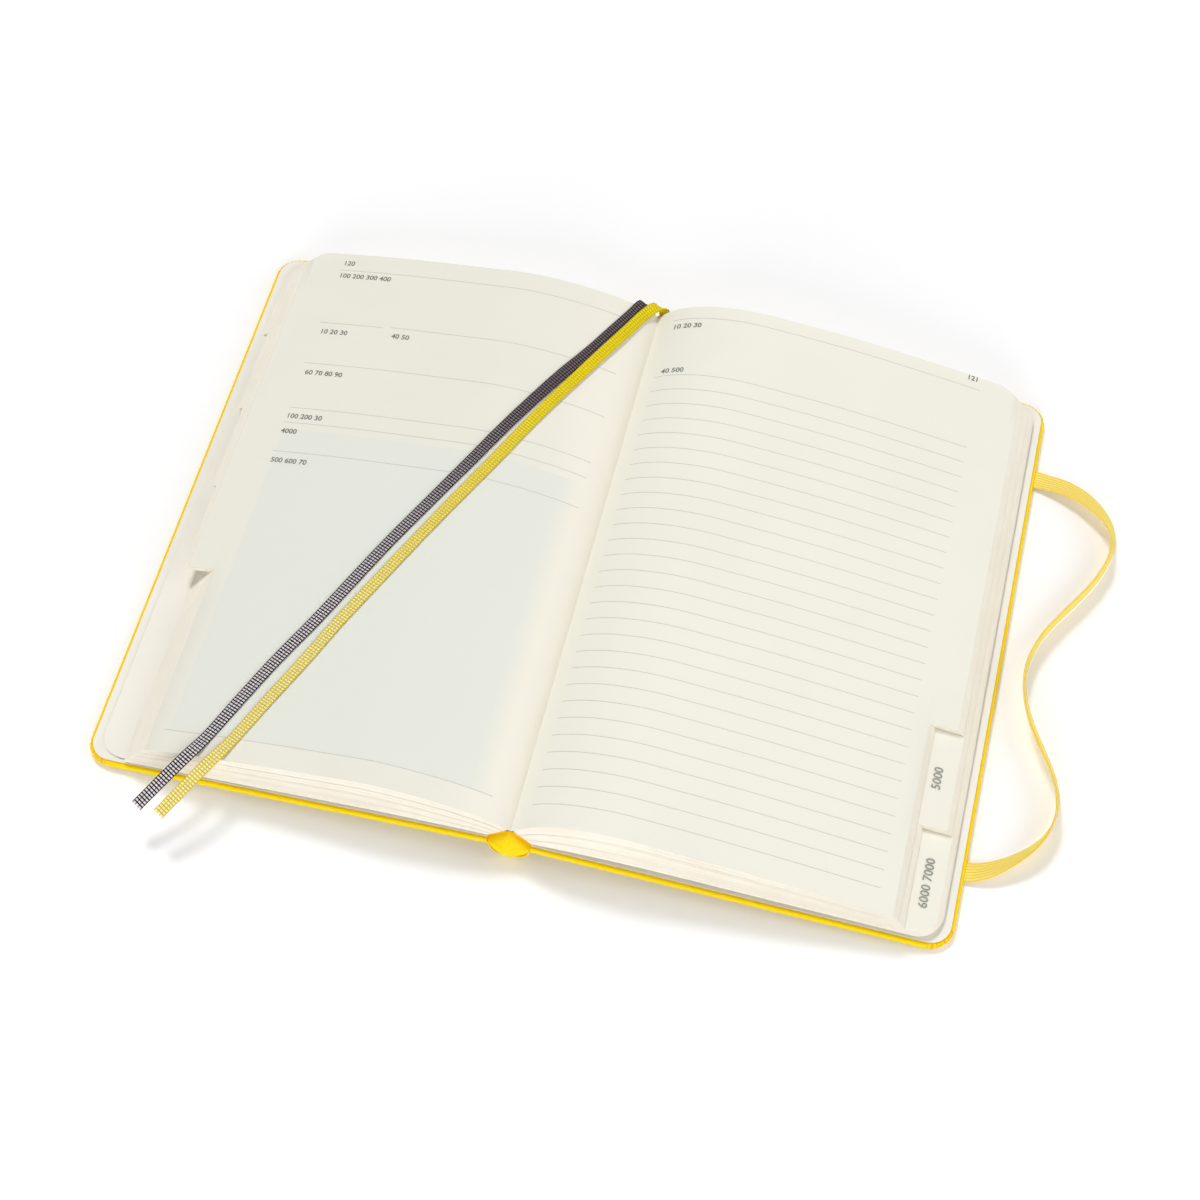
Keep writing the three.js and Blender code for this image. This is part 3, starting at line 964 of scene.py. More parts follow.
@dataclass
class ElasticStrap:
    """The band that holds the book shut, both ends fixed in the back cover."""

    width: float = 7.0
    thickness: float = 0.7
    ribs: int = 7
    rib_depth: float = 0.13
    rib_round: float = 0.6
    rib_points: int = 6
    edge_slope: float = 24.0
    edge_least: float = 0.25
    steps: int = 260
    route: Route = Route((
        (132.3, 74.7, 1.14, 0, 1, 0),
        (136.8, 74.7, 0.95, 0.06, 1, 0),
        (140.5, 74.2, 1.2, 0.22, 0.97, -0.1),
        (146, 72.8, 2.4, 0.36, 0.92, -0.14),
        (151.8, 70.2, 3.4, 0.51, 0.83, -0.25),
        (157.5, 66.2, 3.9, 0.61, 0.66, -0.44),
        (162.6, 60.6, 4.1, 0.61, 0.36, -0.71),
        (165.2, 53.4, 4.1, 0.36, 0.05, -0.93),
        (164.6, 45.5, 4.1, 0.09, -0.01, -1),
        (161.6, 36.8, 4, 0, 0.01, -1),
        (157, 28, 3.9, -0.03, 0.02, -1),
        (151.6, 19, 3.9, -0.05, 0.02, -1),
        (147, 9.5, 4, 0.01, -0.01, -1),
        (144.5, -1, 4.1, 0.14, -0.02, -0.99),
        (145.2, -11, 4.1, 0.3, 0.07, -0.95),
        (148.4, -20.5, 4, 0.42, 0.18, -0.89),
        (153, -29.5, 4, 0.45, 0.23, -0.86),
        (157.9, -38.5, 4.1, 0.4, 0.16, -0.9),
        (160.6, -47.5, 4.1, 0.25, 0.03, -0.97),
        (160, -56.3, 4.1, -0.08, 0.04, -1),
        (156.2, -64.2, 3.8, -0.34, 0.31, -0.89),
        (150, -70.6, 2.9, -0.41, 0.62, -0.68),
        (143.6, -74.8, 1.7, -0.39, 0.84, -0.37),
        (139.5, -76.3, 1.1, -0.27, 0.95, -0.14),
        (136.8, -76.8, 0.95, -0.07, 1, 0),
        (132.3, -76.8, 1.14, 0, 1, 0),
    ))

    def _section(self) -> np.ndarray:
        """Outlines the strap: a scallop for each rib, above and below."""
        across = np.linspace(-0.5, 0.5, self.ribs * self.rib_points + 1)
        scallop = np.abs(np.sin(across * math.pi * self.ribs + math.pi / 2 * (self.ribs % 2 == 0)))
        half = self.thickness / 2 - self.rib_depth * (1 - scallop**self.rib_round)
        half *= np.clip((0.5 - np.abs(across)) * self.edge_slope, self.edge_least, 1)
        above = np.stack([across * self.width, half], axis=1)
        return np.vstack([above, above[::-1] * (1, -1)])

    def build(self, finish: bpy.types.Material) -> None:
        strap = sweep("elastic_strap", self.route, self.steps, self._section())
        dress(strap, finish)
        places, _, _ = self.route.frames(self.steps)
        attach(strap, "back_cover")
        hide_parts("elastic_band")
        places[0] * MM
        self.route.length() * MM
        places * MM
        LOG.info("elastic strap: %.1f mm long", self.route.length())


class Ribs(Group):
    """Geometry nodes that lay one rib across a ribbon at each point of its middle line."""

    def __init__(self) -> None:
        """Lays out the nodes: a bar of the given length, thickness and width at each point."""
        super().__init__("weft_ribs", {"Rib length": "Float", "Rib radius": "Float", "Rib width": "Float"})
        half, radius = self.given("Rib length") * 0.5, self.given("Rib radius")
        ends = [self.node("ShaderNodeCombineXYZ", None, {"X": x}).outputs[0] for x in (half * -1.0, half)]
        line = self.node("GeometryNodeCurvePrimitiveLine", None, {"Start": ends[0], "End": ends[1]})
        finer = self.node("GeometryNodeResampleCurve", None, {"Curve": line.outputs[0], "Count": 5})
        ring = self.node("GeometryNodeCurvePrimitiveCircle", None, {"Resolution": 6, "Radius": radius})
        parts = {"Curve": finer.outputs[0], "Profile Curve": ring.outputs[0], "Fill Caps": True}
        bar = self.node("GeometryNodeCurveToMesh", None, parts)
        axes = {"primary_axis": "X", "secondary_axis": "Z"}
        ways = dict(enumerate(self.stored(name, "FLOAT_VECTOR") for name in ("across", "out")))
        flat = self.node("FunctionNodeAxesToRotation", axes, ways)
        sizes = {"X": 1.0, "Y": self.given("Rib width") / radius, "Z": 1.0}
        laid = self.node("GeometryNodeInstanceOnPoints", None, {
            "Points": self.entry["Geometry"],
            "Instance": bar.outputs[0],
            "Rotation": flat.outputs[0],
            "Scale": self.node("ShaderNodeCombineXYZ", None, sizes).outputs[0],
        })
        self.give(self.node("GeometryNodeRealizeInstances", None, {0: laid.outputs[0]}).outputs[0])

    def lay(
        self,
        name: str,
        frames: tuple[np.ndarray, np.ndarray, np.ndarray],
        sizes: tuple[float, float, float],
        material: bpy.types.Material,
    ) -> bpy.types.Object:
        """Lays ribs on points and gives them back as one plain mesh.

        Args:
            name: the object's name.
            frames: where the ribs' middles are, the way that each lies, and the way out of the ribbon.
            sizes: a rib's length, half thickness and half width in millimetres.
            material: the ribs' finish.

        Returns:
            The ribs as one object.
        """
        points, across, out = frames
        mesh = raw_mesh(f"{name}_points", points)
        store(mesh, "across", across)
        store(mesh, "out", out)
        inputs = {word: size * MM for word, size in zip(("Rib length", "Rib radius", "Rib width"), sizes)}
        return self.run(name, mesh, {**inputs, "Material": material})


@dataclass
class RibbonMarker:
    """A page marker of cross-ribbed ribbon, from the hollow of the spine to its cut end."""

    name: str
    route: Route
    finish: RibbonThread
    node: str
    width: float = 4.0
    thickness: float = 0.35
    selvedge: float = 0.2
    weave_share: float = 0.12
    warps: int = 4
    warp_width: float = 0.3
    warp_share: float = 0.34
    weft_pitch: float = 1.02
    weft_inset: float = 0.1
    weft_share: float = 0.62
    weft_width: float = 0.24
    turn: tuple[Point, Point] = ((6.4, -15.5), (-22.3, 54.3))
    steps: int = 220

    def _flat(self) -> np.ndarray:
        """Outlines the flat weave."""
        a, b = self.width / 2 - self.selvedge, self.thickness * self.weave_share
        return np.array([[a, 0], [a - b, b], [0, b], [b - a, b], [-a, 0], [b - a, -b], [0, -b], [a - b, -b]])

    def _warp(self, number: int) -> np.ndarray:
        """Outlines one lengthwise cord."""
        middle = (number / (self.warps - 1) - 0.5) * (self.width - self.warp_width)
        turns = np.linspace(0, math.tau, 6, endpoint=False)
        across = np.cos(turns) * self.warp_width / 2 + middle
        return np.stack([across, np.sin(turns) * (self.thickness * self.warp_share)], axis=1)

    def build(self, ribs: Ribs) -> None:
        """Makes the ribbon's flat weave, its lengthwise cords and its cross ribs along its route.

        Args:
            ribs: what lays the cross ribs.
        """
        lengthwise, crosswise = self.finish.threads("warp", 0.1), self.finish.threads("weft", 0.0)
        band = sweep(self.name, self.route, self.steps, self._flat())
        dress(band, self.finish.ground())
        pieces = []
        for k in range(self.warps):
            warp = sweep(f"{self.name}_cord_{k + 1}", self.route, self.steps, self._warp(k))
            dress(warp, lengthwise)
            pieces.append(warp)
        count = int(self.route.length() / self.weft_pitch)
        inner = tuple(rows[1:-1] for rows in self.route.frames(count))
        thickness, width = self.thickness * self.weft_share, self.weft_pitch * self.weft_width
        sizes = (self.width - self.weft_inset, thickness, width)
        pieces.append(ribs.lay(f"{self.name}_ribs", inner, sizes, crosswise))
        for piece in (band, *pieces):
            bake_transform(piece)
        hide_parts(self.node)
        places, _, _ = self.route.frames(self.steps)
        places[0] * MM
        self.route.length() * MM
        places * MM
        LOG.info("%s: %.1f mm long, %d ribs", self.name, self.route.length(), count - 1)


PLUM_ROUTE = Route((
    (-2.6, 90, 6.4, 1, 0, 0.1),
    (-2.8, 97, 6.9, 1, 0, 0.1),
    (-3.4, 103.2, 9.2, 1, 0, 0.1),
    (-3.9, 105.0, 13.0, 0.98, -0.1, -0.05),
    (-5.7, 103.9, 16.4, 0.94, -0.25, -0.3),
    (-8.2, 98.2, 19.6, 0.92, -0.39, -0.04),
    (-14.0, 85.2, 20.5, 0.92, -0.39, -0.04),
    (-17.9, 76.8, 21.1, 0.9, -0.44, -0.04),
    (-25.1, 63.1, 22.3, 0.9, -0.44, 0.06),
    (-31.4, 50.1, 23, 0.9, -0.43, 0.06),
    (-38.4, 35.1, 23.6, 0.91, -0.42, 0),
    (-44.8, 20.8, 23.8, 0.91, -0.42, -0.06),
    (-53.5, 2.7, 23, 0.9, -0.44, -0.1),
    (-62, -14.8, 21.9, 0.91, -0.42, -0.12),
    (-69.6, -31.9, 21, 0.92, -0.4, -0.12),
    (-76.9, -48.6, 20.1, 0.91, -0.42, -0.13),
    (-84.8, -65.1, 19, 0.91, -0.41, -0.14),
    (-91.7, -81.1, 18.3, 0.92, -0.39, -0.14),
    (-97.6, -95.2, 17.5, 0.92, -0.4, -0.14),
    (-101.6, -104, 16.8, 0.89, -0.46, -0.13),
    (-106.4, -112.4, 15.2, 0.85, -0.52, -0.1),
    (-112.2, -121.2, 11.6, 0.83, -0.55, -0.08),
))
YELLOW_ROUTE = Route((
    (2.6, 90, 6.4, 1, 0, -0.05),
    (2.6, 97, 6.9, 1, 0, -0.05),
    (2.2, 103.2, 9.2, 1, 0, 0),
    (1.2, 105.4, 13.2, 0.98, -0.1, -0.05),
    (-1.1, 104.3, 15.6, 0.95, -0.22, -0.3),
    (-3.9, 100.4, 18, 0.91, -0.43, -0.04),
    (-9.2, 87.8, 19.3, 0.92, -0.39, -0.04),
    (-13, 79.2, 20.2, 0.91, -0.41, -0.04),
    (-19.1, 65.5, 21.3, 0.91, -0.41, 0.06),
    (-25.1, 52.2, 22.4, 0.91, -0.4, 0.06),
    (-31.6, 37.2, 23.1, 0.92, -0.39, 0.06),
    (-37.6, 22.8, 23.6, 0.92, -0.4, 0),
    (-46, 4.1, 23.8, 0.91, -0.41, -0.06),
    (-54.1, -13.5, 22.9, 0.91, -0.42, -0.1),
    (-61.8, -30.5, 22, 0.91, -0.41, -0.12),
    (-69.3, -47.3, 21.1, 0.92, -0.39, -0.12),
    (-75.9, -63.6, 20.3, 0.92, -0.39, -0.13),
    (-82.9, -79.7, 19.6, 0.92, -0.39, -0.14),
    (-89.5, -95.4, 18.8, 0.92, -0.4, -0.14),
    (-93.6, -104.4, 18.1, 0.89, -0.45, -0.13),
    (-98.6, -113.4, 16.3, 0.86, -0.51, -0.1),
    (-104.6, -122.8, 12.6, 0.84, -0.54, -0.08),
))


# The case


@dataclass
class Case:
    """The two covers, each a board in its cloth, and the bare cloth of the spine."""

    width: float = 130.0
    height: float = 210.0
    thickness: float = 2.2
    corner: float = 8.0
    chord: float = 13.4
    rise: float = 5.6
    roundness: float = 0.8
    side_steps: int = 24
    corner_steps: int = 96
    edge_steps: int = 6
    pleats: int = 11
    pleat_depth: float = 0.34
    pleat_sharpness: float = 1.8
    pleat_drift: Point = (0.35, 17.0)
    pleat_ends: float = 10.0
    turn_in: float = 2.4
    # how much painted shade the top of the inner turned edge gets
    plain: float = 5.0
    inner_edge_shade: float = 0.4
    inner_from: Point = (0.7, 0.9)
    cover_crisp: float = 60.0
    spine_cloth: float = 0.55
    spine_foot: float = 0.3
    spine_join: float = 6.7
    spine_squeeze: float = 0.06
    spine_steps: int = 26
    spine_ends: tuple[Point, ...] = ((0.0, 0.35), (0.15, 0.12), (0.6, 0.0))
    spine_even: float = 90.0
    spine_stations: int = 13
    pull_width: float = 7.0
    pull_lift: float = 0.6
    pull_height: float = 8.0
    strip_crisp: float = 50.0
    cap_lap: float = 2.3
    cap_bulge: float = 2.1
    cap_middle: float = 7.0
    cap_side: float = 7.6
    cap_peak: float = 5.4
    cap_foot: float = 6.3
    cap_steps: int = 72
    cap_narrow: float = 0.97
    cap_fold: float = 0.16
    cap_folds: int = 9
    cap_sag: Point = (4.0, 8.0)
    cap_level: float = 0.45
    cap_pointed: tuple[float, float, float] = (1.25, 1.0, 1.9)
    # how much painted shade the upper part of a spine cap's rim gets
    cap_rim_shade: float = 0.8
    cap_crisp: float = 75.0
    cap_rings: tuple[Point, ...] = (
        (1.0, 0.0),
        (1.0, 0.12),
        (0.97, 0.3),
        (0.9, 0.5),
        (0.8, 0.68),
        (0.66, 0.83),
        (0.48, 0.94),
        (0.26, 0.99),
        (0.06, 1.0),
    )
    tilt: float = field(init=False)

    def __post_init__(self) -> None:
        """Works out how far the covers lean."""
        self.tilt = math.asin(self.rise / self.width)

    def on_board(
        self, half: Half, along: np.ndarray, y: np.ndarray, height: np.ndarray | float
    ) -> np.ndarray:
        """Places points given from the spine edge of a board, and above its outer face.

        Args:
            half: the side of the book.
            along: distance from the spine edge.
            y: distance from the middle of the book towards the head.
            height: distance above the board's outer face.

        Returns:
            Rows of coordinates in millimetres.
        """
        lean, up = math.sin(self.tilt), math.cos(self.tilt)
        x = half.value * (self.chord / 2 + along * up + height * lean)
        z = self.rise - along * lean + height * up
        return np.stack(np.broadcast_arrays(x, y, z), axis=-1).astype(float)

    def _outline(self, inset: float) -> tuple[np.ndarray, np.ndarray]:
        """Outlines a cover from the spine edge round to it again, that far inside its own edge.

        Args:
            inset: the distance inside the edge.

        Returns:
            The outline's points, and how far round a corner each is, or -1 on the straights.
        """
        radius, half = self.corner - inset, self.height / 2 - inset
        centre_u, centre_y = self.width - self.corner, self.height / 2 - self.corner
        side = np.linspace(0, centre_u, self.side_steps, endpoint=False)
        fore = np.linspace(-centre_y, centre_y, self.side_steps)[1:-1]
        turns = np.linspace(0, math.pi / 2, self.corner_steps)
        turned = turns / (math.pi / 2)
        stretches = (
            (side, -half, -1.0),
            (centre_u + radius * np.sin(turns), -centre_y - radius * np.cos(turns), turned),
            (self.width - inset, fore, -1.0),
            (centre_u + radius * np.cos(turns), centre_y + radius * np.sin(turns), turned),
            (side[::-1], half, -1.0),
        )
        table = np.vstack([np.stack(np.broadcast_arrays(*stretch), axis=1) for stretch in stretches])
        return table[:, :2], table[:, 2]

    def _profile(self) -> list[tuple[float, float, float]]:
        """Lists the cover's rolled edge: inset, height, and how deep the pleats are there."""
        r, top = self.roundness, self.thickness
        turns = [(math.sin(a), math.cos(a)) for a in np.linspace(0, math.pi / 2, self.edge_steps)]
        low = [(r * (1 - sine), r * (1 - cosine), sine) for sine, cosine in turns]
        high = [(r * (1 - cosine), top - r * (1 - sine), 1.0) for sine, cosine in turns]
        return [(self.plain, 0.0, 0.0), *low, *high, (self.turn_in, top, 0.6), (self.plain, top, 0.0)]

    def _pleat(self, corner: np.ndarray) -> np.ndarray:
        """Gives the depth of the folds that gather the cloth round a corner, from 0 to 1."""
        drift, turns = self.pleat_drift
        phase = corner * self.pleats + drift * np.sin(corner * turns)
        folds = (0.5 + 0.5 * np.cos(phase * math.tau)) ** self.pleat_sharpness
        ends = np.clip(np.minimum(corner, 1 - corner) * self.pleat_ends, 0, 1)
        return np.where(corner < 0, 0.0, folds * ends)

    def cover(self, half: Half, finish: bpy.types.Material) -> None:
        """Makes one cover's cloth, with its rolled edges and gathered corners, and painted shade in its
        folds and along the top of its inner edge.
        """
        rings, fold_shades = [], []
        inner_inset, inner_height = self.roundness * self.inner_from[0], self.thickness * self.inner_from[1]
        for inset, height, gather in self._profile():
            outline, corner = self._outline(inset)
            folds = self._pleat(corner) * gather
            inside = inset > inner_inset and height > inner_height
            # painted shade: the corner folds and the top of the inner turned edge get their amount of
            # painted fold shade
            fold_shades.append(np.maximum(folds, self.inner_edge_shade if inside else 0.0))
            inward = np.array([self.width - self.corner, 0.0]) - outline
            inward[:, 1] += np.sign(outline[:, 1]) * (self.height / 2 - self.corner)
            reach = np.linalg.norm(inward, axis=1)[:, None]
            moved = outline + inward / np.maximum(reach, TINY) * (folds * self.pleat_depth)[:, None]
            rings.append(self.on_board(half, moved[:, 0], moved[:, 1], height))
        around, last = len(rings[0]), len(rings) - 1
        starts = [k * around + i for k in range(last) for i in range(around - 1)]
        faces = [[low, low + 1, low + around + 1, low + around] for low in starts]
        faces += [list(range(around)), [last * around + i for i in range(around)]]
        edge = [k * around for k in range(last + 1)]
        faces.append(edge + [low + around - 1 for low in reversed(edge)])
        made = make_mesh(f"{half.word}_cover_leatherette", np.vstack(rings), faces)
        store(made.data, "fold_shade", np.concatenate(fold_shades))
        sharpen(made, self.cover_crisp)
        dress(made, finish)
        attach(made, f"{half.word}_cover")
        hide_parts(f"{half.word}_cover_cloth")
        LOG.info("%s cover: %d points", half.word, len(made.data.vertices))

    def _hollow(self, turn: float, inset: float = 0.0) -> Point:
        """Finds the place on the round of the spine at a turn from 0, back side, to 1, front side."""
        angle = math.pi * turn
        top = self.rise + self.thickness / 2
        width, depth = self.spine_join - inset, top - self.spine_foot - inset
        squeeze = 1 + self.spine_squeeze * math.sin(2 * angle) ** 2
        return width * math.cos(angle) * squeeze, top - depth * math.sin(angle) * squeeze

    def _strip(self, name: str, start: float, end: float, finish: bpy.types.Material) -> bpy.types.Object:
        """Makes a strip of the spine cloth between two turns of its round."""
        turns = np.linspace(start, end, max(4, int(self.spine_steps * (end - start))))
        outer = [self._hollow(t) for t in turns]
        inner = [self._hollow(t, self.spine_cloth) for t in turns[::-1]]
        half = self.height / 2
        tail, head = ([(sign * (half - y), pull) for y, pull in self.spine_ends] for sign in (-1, 1))
        even = [(y, 0.0) for y in np.linspace(-self.spine_even, self.spine_even, self.spine_stations)]
        rings = []
        for y, pull in (*tail, *even, *head[::-1]):
            narrow, lift = 1 - pull / self.pull_width, pull * self.pull_lift
            drawn = [(x * narrow, z + lift * (1 - z / self.pull_height)) for x, z in outer]
            rings.append(np.array([(x, y, z) for x, z in (*drawn, *inner)]))
        made = make_mesh(name, np.vstack(rings), tube_faces(len(rings), len(rings[0])))
        sharpen(made, self.strip_crisp)
        dress(made, finish)
        return made

    def spine(self, finish: bpy.types.Material) -> None:
        """Makes the spine cloth in five strips, and a cap at each end."""
        spans = (
            ("spine_back_groove", 0.0, 0.08, "back_cover", "back_leaves"),
            ("spine_back_side", 0.08, 0.3, "back_leaves", "back_fold"),
            ("spine_middle", 0.3, 0.7, "back_fold", "front_fold"),
            ("spine_front_side", 0.7, 0.92, "front_fold", "front_leaves"),
            ("spine_front_groove", 0.92, 1.0, "front_leaves", "front_cover"),
        )
        for name, start, end, first, second in spans:
            strip = self._strip(name, start, end, finish)
            if name == "spine_middle":
                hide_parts("spine_cloth")
            (x0, z0), (x1, z1) = self._hollow(start), self._hollow(end)
            x0 * MM
            z0 * MM
            x1 * MM
            z1 * MM
            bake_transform(strip)
        for end, name in ((-1, "spine_cap_tail"), (1, "spine_cap_head")):
            self._cap(name, end, finish)
        LOG.info("spine cloth: %d strips and 2 caps", len(spans))

    def _cap(self, name: str, end: int, finish: bpy.types.Material) -> None:
        """Makes the puffed fold that closes one end of the spine, with painted shade round the upper part of
        its rim.
        """
        base, reach = self.height / 2 - self.cap_lap, self.cap_bulge + self.cap_lap
        turns = np.linspace(0, math.tau, self.cap_steps, endpoint=False)
        sine, cosine = np.sin(turns), np.cos(turns)
        lower = sine < 0
        wide = np.where(lower, self.cap_side, self.cap_side * self.cap_narrow)
        tall = np.where(lower, self.cap_foot, self.cap_peak)
        foot_point, rim_point, peak_point = self.cap_pointed
        sag_start, sag_span = self.cap_sag
        rings, fold_shades = [], []
        for share, out in self.cap_rings:
            pointed = np.where(lower, foot_point, peak_point if out > 0 else rim_point)
            x = wide * np.sign(cosine) * np.abs(cosine) ** pointed * share
            z = tall * np.sign(sine) * np.abs(sine) ** pointed * share + self.cap_middle
            sag = np.clip((self.cap_middle + sag_start - z) / sag_span, 0, 1)
            bulge = self.cap_level + (1 - self.cap_level) * sag
            folds = self.cap_fold * np.sin(turns * self.cap_folds) * np.sin(share * math.pi)
            y = end * (base + reach * out * bulge + folds)
            rings.append(np.stack([x, y, z], axis=1))
            # painted shade: the upper part of the outer rings gets its amount of painted fold shade
            rim, upper = np.clip(share * 2.2 - 1.3, 0, 1), np.clip(sine * 1.5 + 0.35, 0, 1)
            fold_shades.append(rim * upper * self.cap_rim_shade)
        made = make_mesh(name, np.vstack(rings), tube_faces(len(rings), len(turns)))
        store(made.data, "fold_shade", np.concatenate(fold_shades))
        sharpen(made, self.cap_crisp)
        dress(made, finish)
        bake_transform(made)


# The block of leaves


@dataclass
class Fan:
    """One half of the open block: its leaves fan from the sewn back to the fore edge."""

    half: Half
    case: Case
    lowest: tuple[Point, ...]
    highest: tuple[Point, ...]
    hinge: Point
    fold_turn: float
    lining: float = 2.6
    closed_half: float = 11.6
    closed_air: float = 0.2
    head_rise: float = 0.0
    head_arch: float = 0.7
    page_height: float = 205.0
    corner: float = 8.0
    thumb_cut: float = 9.0
    rows: int = 6
    row_gap: float = 0.1
    tail_lean: float = 1.3
    fit_steps: int = 120
    fit_leaves: int = 7
    fit_trust: float = 40.0
    sewn_share: float = 0.02
    far: float = 1e9
    cut_clear: float = 2.0
    corner_columns: int = 9
    grid_lines: tuple[int, int] = (9, 11)
    stations: tuple[float, ...] = (
        0, 1.5, 3, 5, 7, 9.5, 12, 15, 18, 21, 24.5, 28, 32, 36, 41, 46, 52, 58, 65, 72, 80, 88, 96, 104, 111,
    )

    def __post_init__(self) -> None:
        """Works out the two outer leaves' curves."""
        self.low, self.high = through_points(self.lowest), through_points(self.highest)
        self.length = length_of(self.low)

    @property
    def row_height(self) -> float:
        """Gives the height of one row of the thumb index."""
        return self.page_height / self.rows

    def _to_go(self, leaf: float) -> np.ndarray:
        """Looks at how far each place on a leaf has gone over to the flat block.

        Args:
            leaf: which leaf, from 0, the lowest, to 1, the highest.

        Returns:
            Rows of the place, a 1, the way gone from 0 to 1, and how much the place counts.
        """
        shares, hinge = np.linspace(0, 1, self.fit_steps), np.array(self.hinge)
        turn = -math.radians(self.fold_turn) * self.half.value
        spin = np.array([[math.cos(turn), -math.sin(turn)], [math.sin(turn), math.cos(turn)]])
        outer = self.case.on_board(self.half, np.zeros(1), np.zeros(1), 0.0)[0, [0, 2]]
        up = np.array([self.half.value * math.sin(self.case.tilt), math.cos(self.case.tilt)])
        line = self.surface(shares, np.zeros(len(shares)), leaf, 0.0)[:, (0, 2)]
        left = (line - hinge) @ spin.T + hinge - line
        level = self.lining + self.closed_air + (self.closed_half - self.lining - 2 * self.closed_air) * leaf
        rise = level - (line - outer) @ up
        size = np.minimum(np.linalg.norm(left, axis=1), self.fit_trust)
        climb = np.where(abs(left @ up) < 1, self.far, left @ up)
        wanted = np.where(shares < self.sewn_share, 0.0, 1 - np.clip(rise / climb, 0, 1))
        way = 0.5 - np.sin(np.arcsin(1 - 2 * wanted) / 3)
        return np.column_stack([line, np.ones(len(line)), way, size])

    def bend(self, start: float, end: float) -> tuple[Vector, Vector]:
        """Finds the way along which a run of leaves goes over from the sewn fold to the flat block.

        In the closed book every leaf should lie flat at its own height above the board. At each
        point that says how much of the fold's turn is left, and one straight way is fitted to it.

        Args:
            start: the run's lowest leaf.
            end: its highest leaf.

        Returns:
            Where the going over starts and where it ends, in metres.
        """
        table = np.vstack([self._to_go(leaf) for leaf in np.linspace(start, end, self.fit_leaves)])
        trust = table[:, 4:]
        slope = np.linalg.lstsq(table[:, :3] * trust, table[:, 3] * trust[:, 0], rcond=None)[0]
        way = slope[:2] / (slope[:2] @ slope[:2])
        middle = table[:, :2].mean(axis=0)
        begin = middle - way * (middle @ slope[:2] + slope[2])
        return tuple(Vector((x, 0, z)) * MM for x, z in (begin, begin + way))

    def follow(self, piece: bpy.types.Object, start: float, end: float) -> None:
        """Bakes a piece's place into its mesh; the way along which its leaves go over to the flat block is
        worked out but not used.
        """
        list(self.bend(start, end))
        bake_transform(piece)

    def columns(self) -> np.ndarray:
        """Lists the shares of a leaf's length where its mesh has a line of points."""
        reach, body = self.length - self.thumb_cut, np.array(self.stations)
        turns = np.linspace(0, math.pi / 2, self.corner_columns)
        ends = self.length - self.corner + self.corner * np.sin(turns)
        return np.concatenate([body[body < reach - self.cut_clear], [reach], ends]) / self.length

    def corner_drop(self, shares: np.ndarray) -> np.ndarray:
        """Gives how far a rounded corner cuts into the page's height at each column."""
        over = np.clip(shares * self.length - (self.length - self.corner), 0, self.corner)
        return self.corner - np.sqrt(np.maximum(self.corner**2 - over**2, 0))

    def surface(self, shares: np.ndarray, y: np.ndarray, leaf: float, rise: float) -> np.ndarray:
        """Places points on a leaf of the fan.

        Args:
            shares: how far along the leaf each point is, from 0 to 1.
            y: each point's distance towards the head.
            leaf: which leaf, from 0, the lowest, to 1, the highest.
            rise: a shift across the leaves in millimetres.

        Returns:
            Rows of coordinates in millimetres.
        """
        low, high = at_lengths(self.low, shares), at_lengths(self.high, shares)
        flat = low + (high - low) * leaf + unit(high - low) * rise
        arch = np.sin(np.clip(shares, 0, 1) * math.pi) ** self.head_arch * leaf * self.head_rise
        lift = arch * np.clip(y / self.page_height + 0.5, 0, 1)
        y = y - self.tail_lean * (1 - leaf) * np.clip(-2 * y / self.page_height, 0, 1) ** 4
        return self.case.on_board(self.half, flat[:, 0], y, self.lining + flat[:, 1] + lift)

    def grid(self, row: int) -> tuple[np.ndarray, np.ndarray, np.ndarray]:
        """Lays out a leaf that is cut back below its own row of the thumb index.

        Args:
            row: the index row that this leaf ends in, or the last one if it isn't cut.

        Returns:
            The shares along and the heights of a grid of points, and which points are used.
        """
        shares, half = self.columns(), self.page_height / 2
        drop = self.corner_drop(shares)
        whole = row >= self.rows
        cut = -half + self.row_height / 2 if whole else half - row * self.row_height - self.row_gap
        lower, upper = (np.linspace(0, 1, lines) for lines in self.grid_lines)
        tail = -half + drop if whole else np.full(len(shares), -half)
        below = tail + (cut - tail) * lower[:, None]
        above = cut + (half - drop - cut) * upper[1:, None]
        heights = np.vstack([below, above])
        used = np.ones(heights.shape, bool)
        if not whole:
            used[: len(lower) - 1, shares > 1 - self.thumb_cut / self.length + TINY] = False
        return np.broadcast_to(shares, heights.shape), heights, used


@dataclass
class Slab:
    """Two like grids of points, the second above the first, joined into a closed slab."""

    low: np.ndarray
    high: np.ndarray
    used: np.ndarray

    def __post_init__(self) -> None:
        """Finds the points that are used, and joins them into the faces of the flats and the walls."""
        twice = np.tile(self.used.ravel(), 2)
        self.keep, number = np.flatnonzero(twice), np.cumsum(twice) - 1
        rows, columns = self.used.shape
        flats, edges = [], {}
        for low in (i * columns + j for i in range(rows - 1) for j in range(columns - 1)):
            loop = [low, low + 1, low + columns + 1, low + columns]
            if twice[loop].all():
                flats += [loop[::-1], [self.used.size + k for k in loop]]
                edges.update(dict.fromkeys(zip(loop, loop[1:] + loop[:1])))
        sides = [(a, b) for a, b in edges if (b, a) not in edges]
        walls = [[a, b, self.used.size + b, self.used.size + a] for a, b in sides]
        self.faces = [[int(number[k]) for k in loop] for loop in flats + walls]
        self.rim = np.repeat([0.0, 1.0], [len(flats), len(walls)])
        self.points = np.vstack([self.low.reshape(-1, 3), self.high.reshape(-1, 3)])[self.keep]

    def on_both(self, rows: np.ndarray) -> np.ndarray:
        """Gives each point of the slab what one grid holds at its place."""
        return np.concatenate([rows, rows])[self.keep]


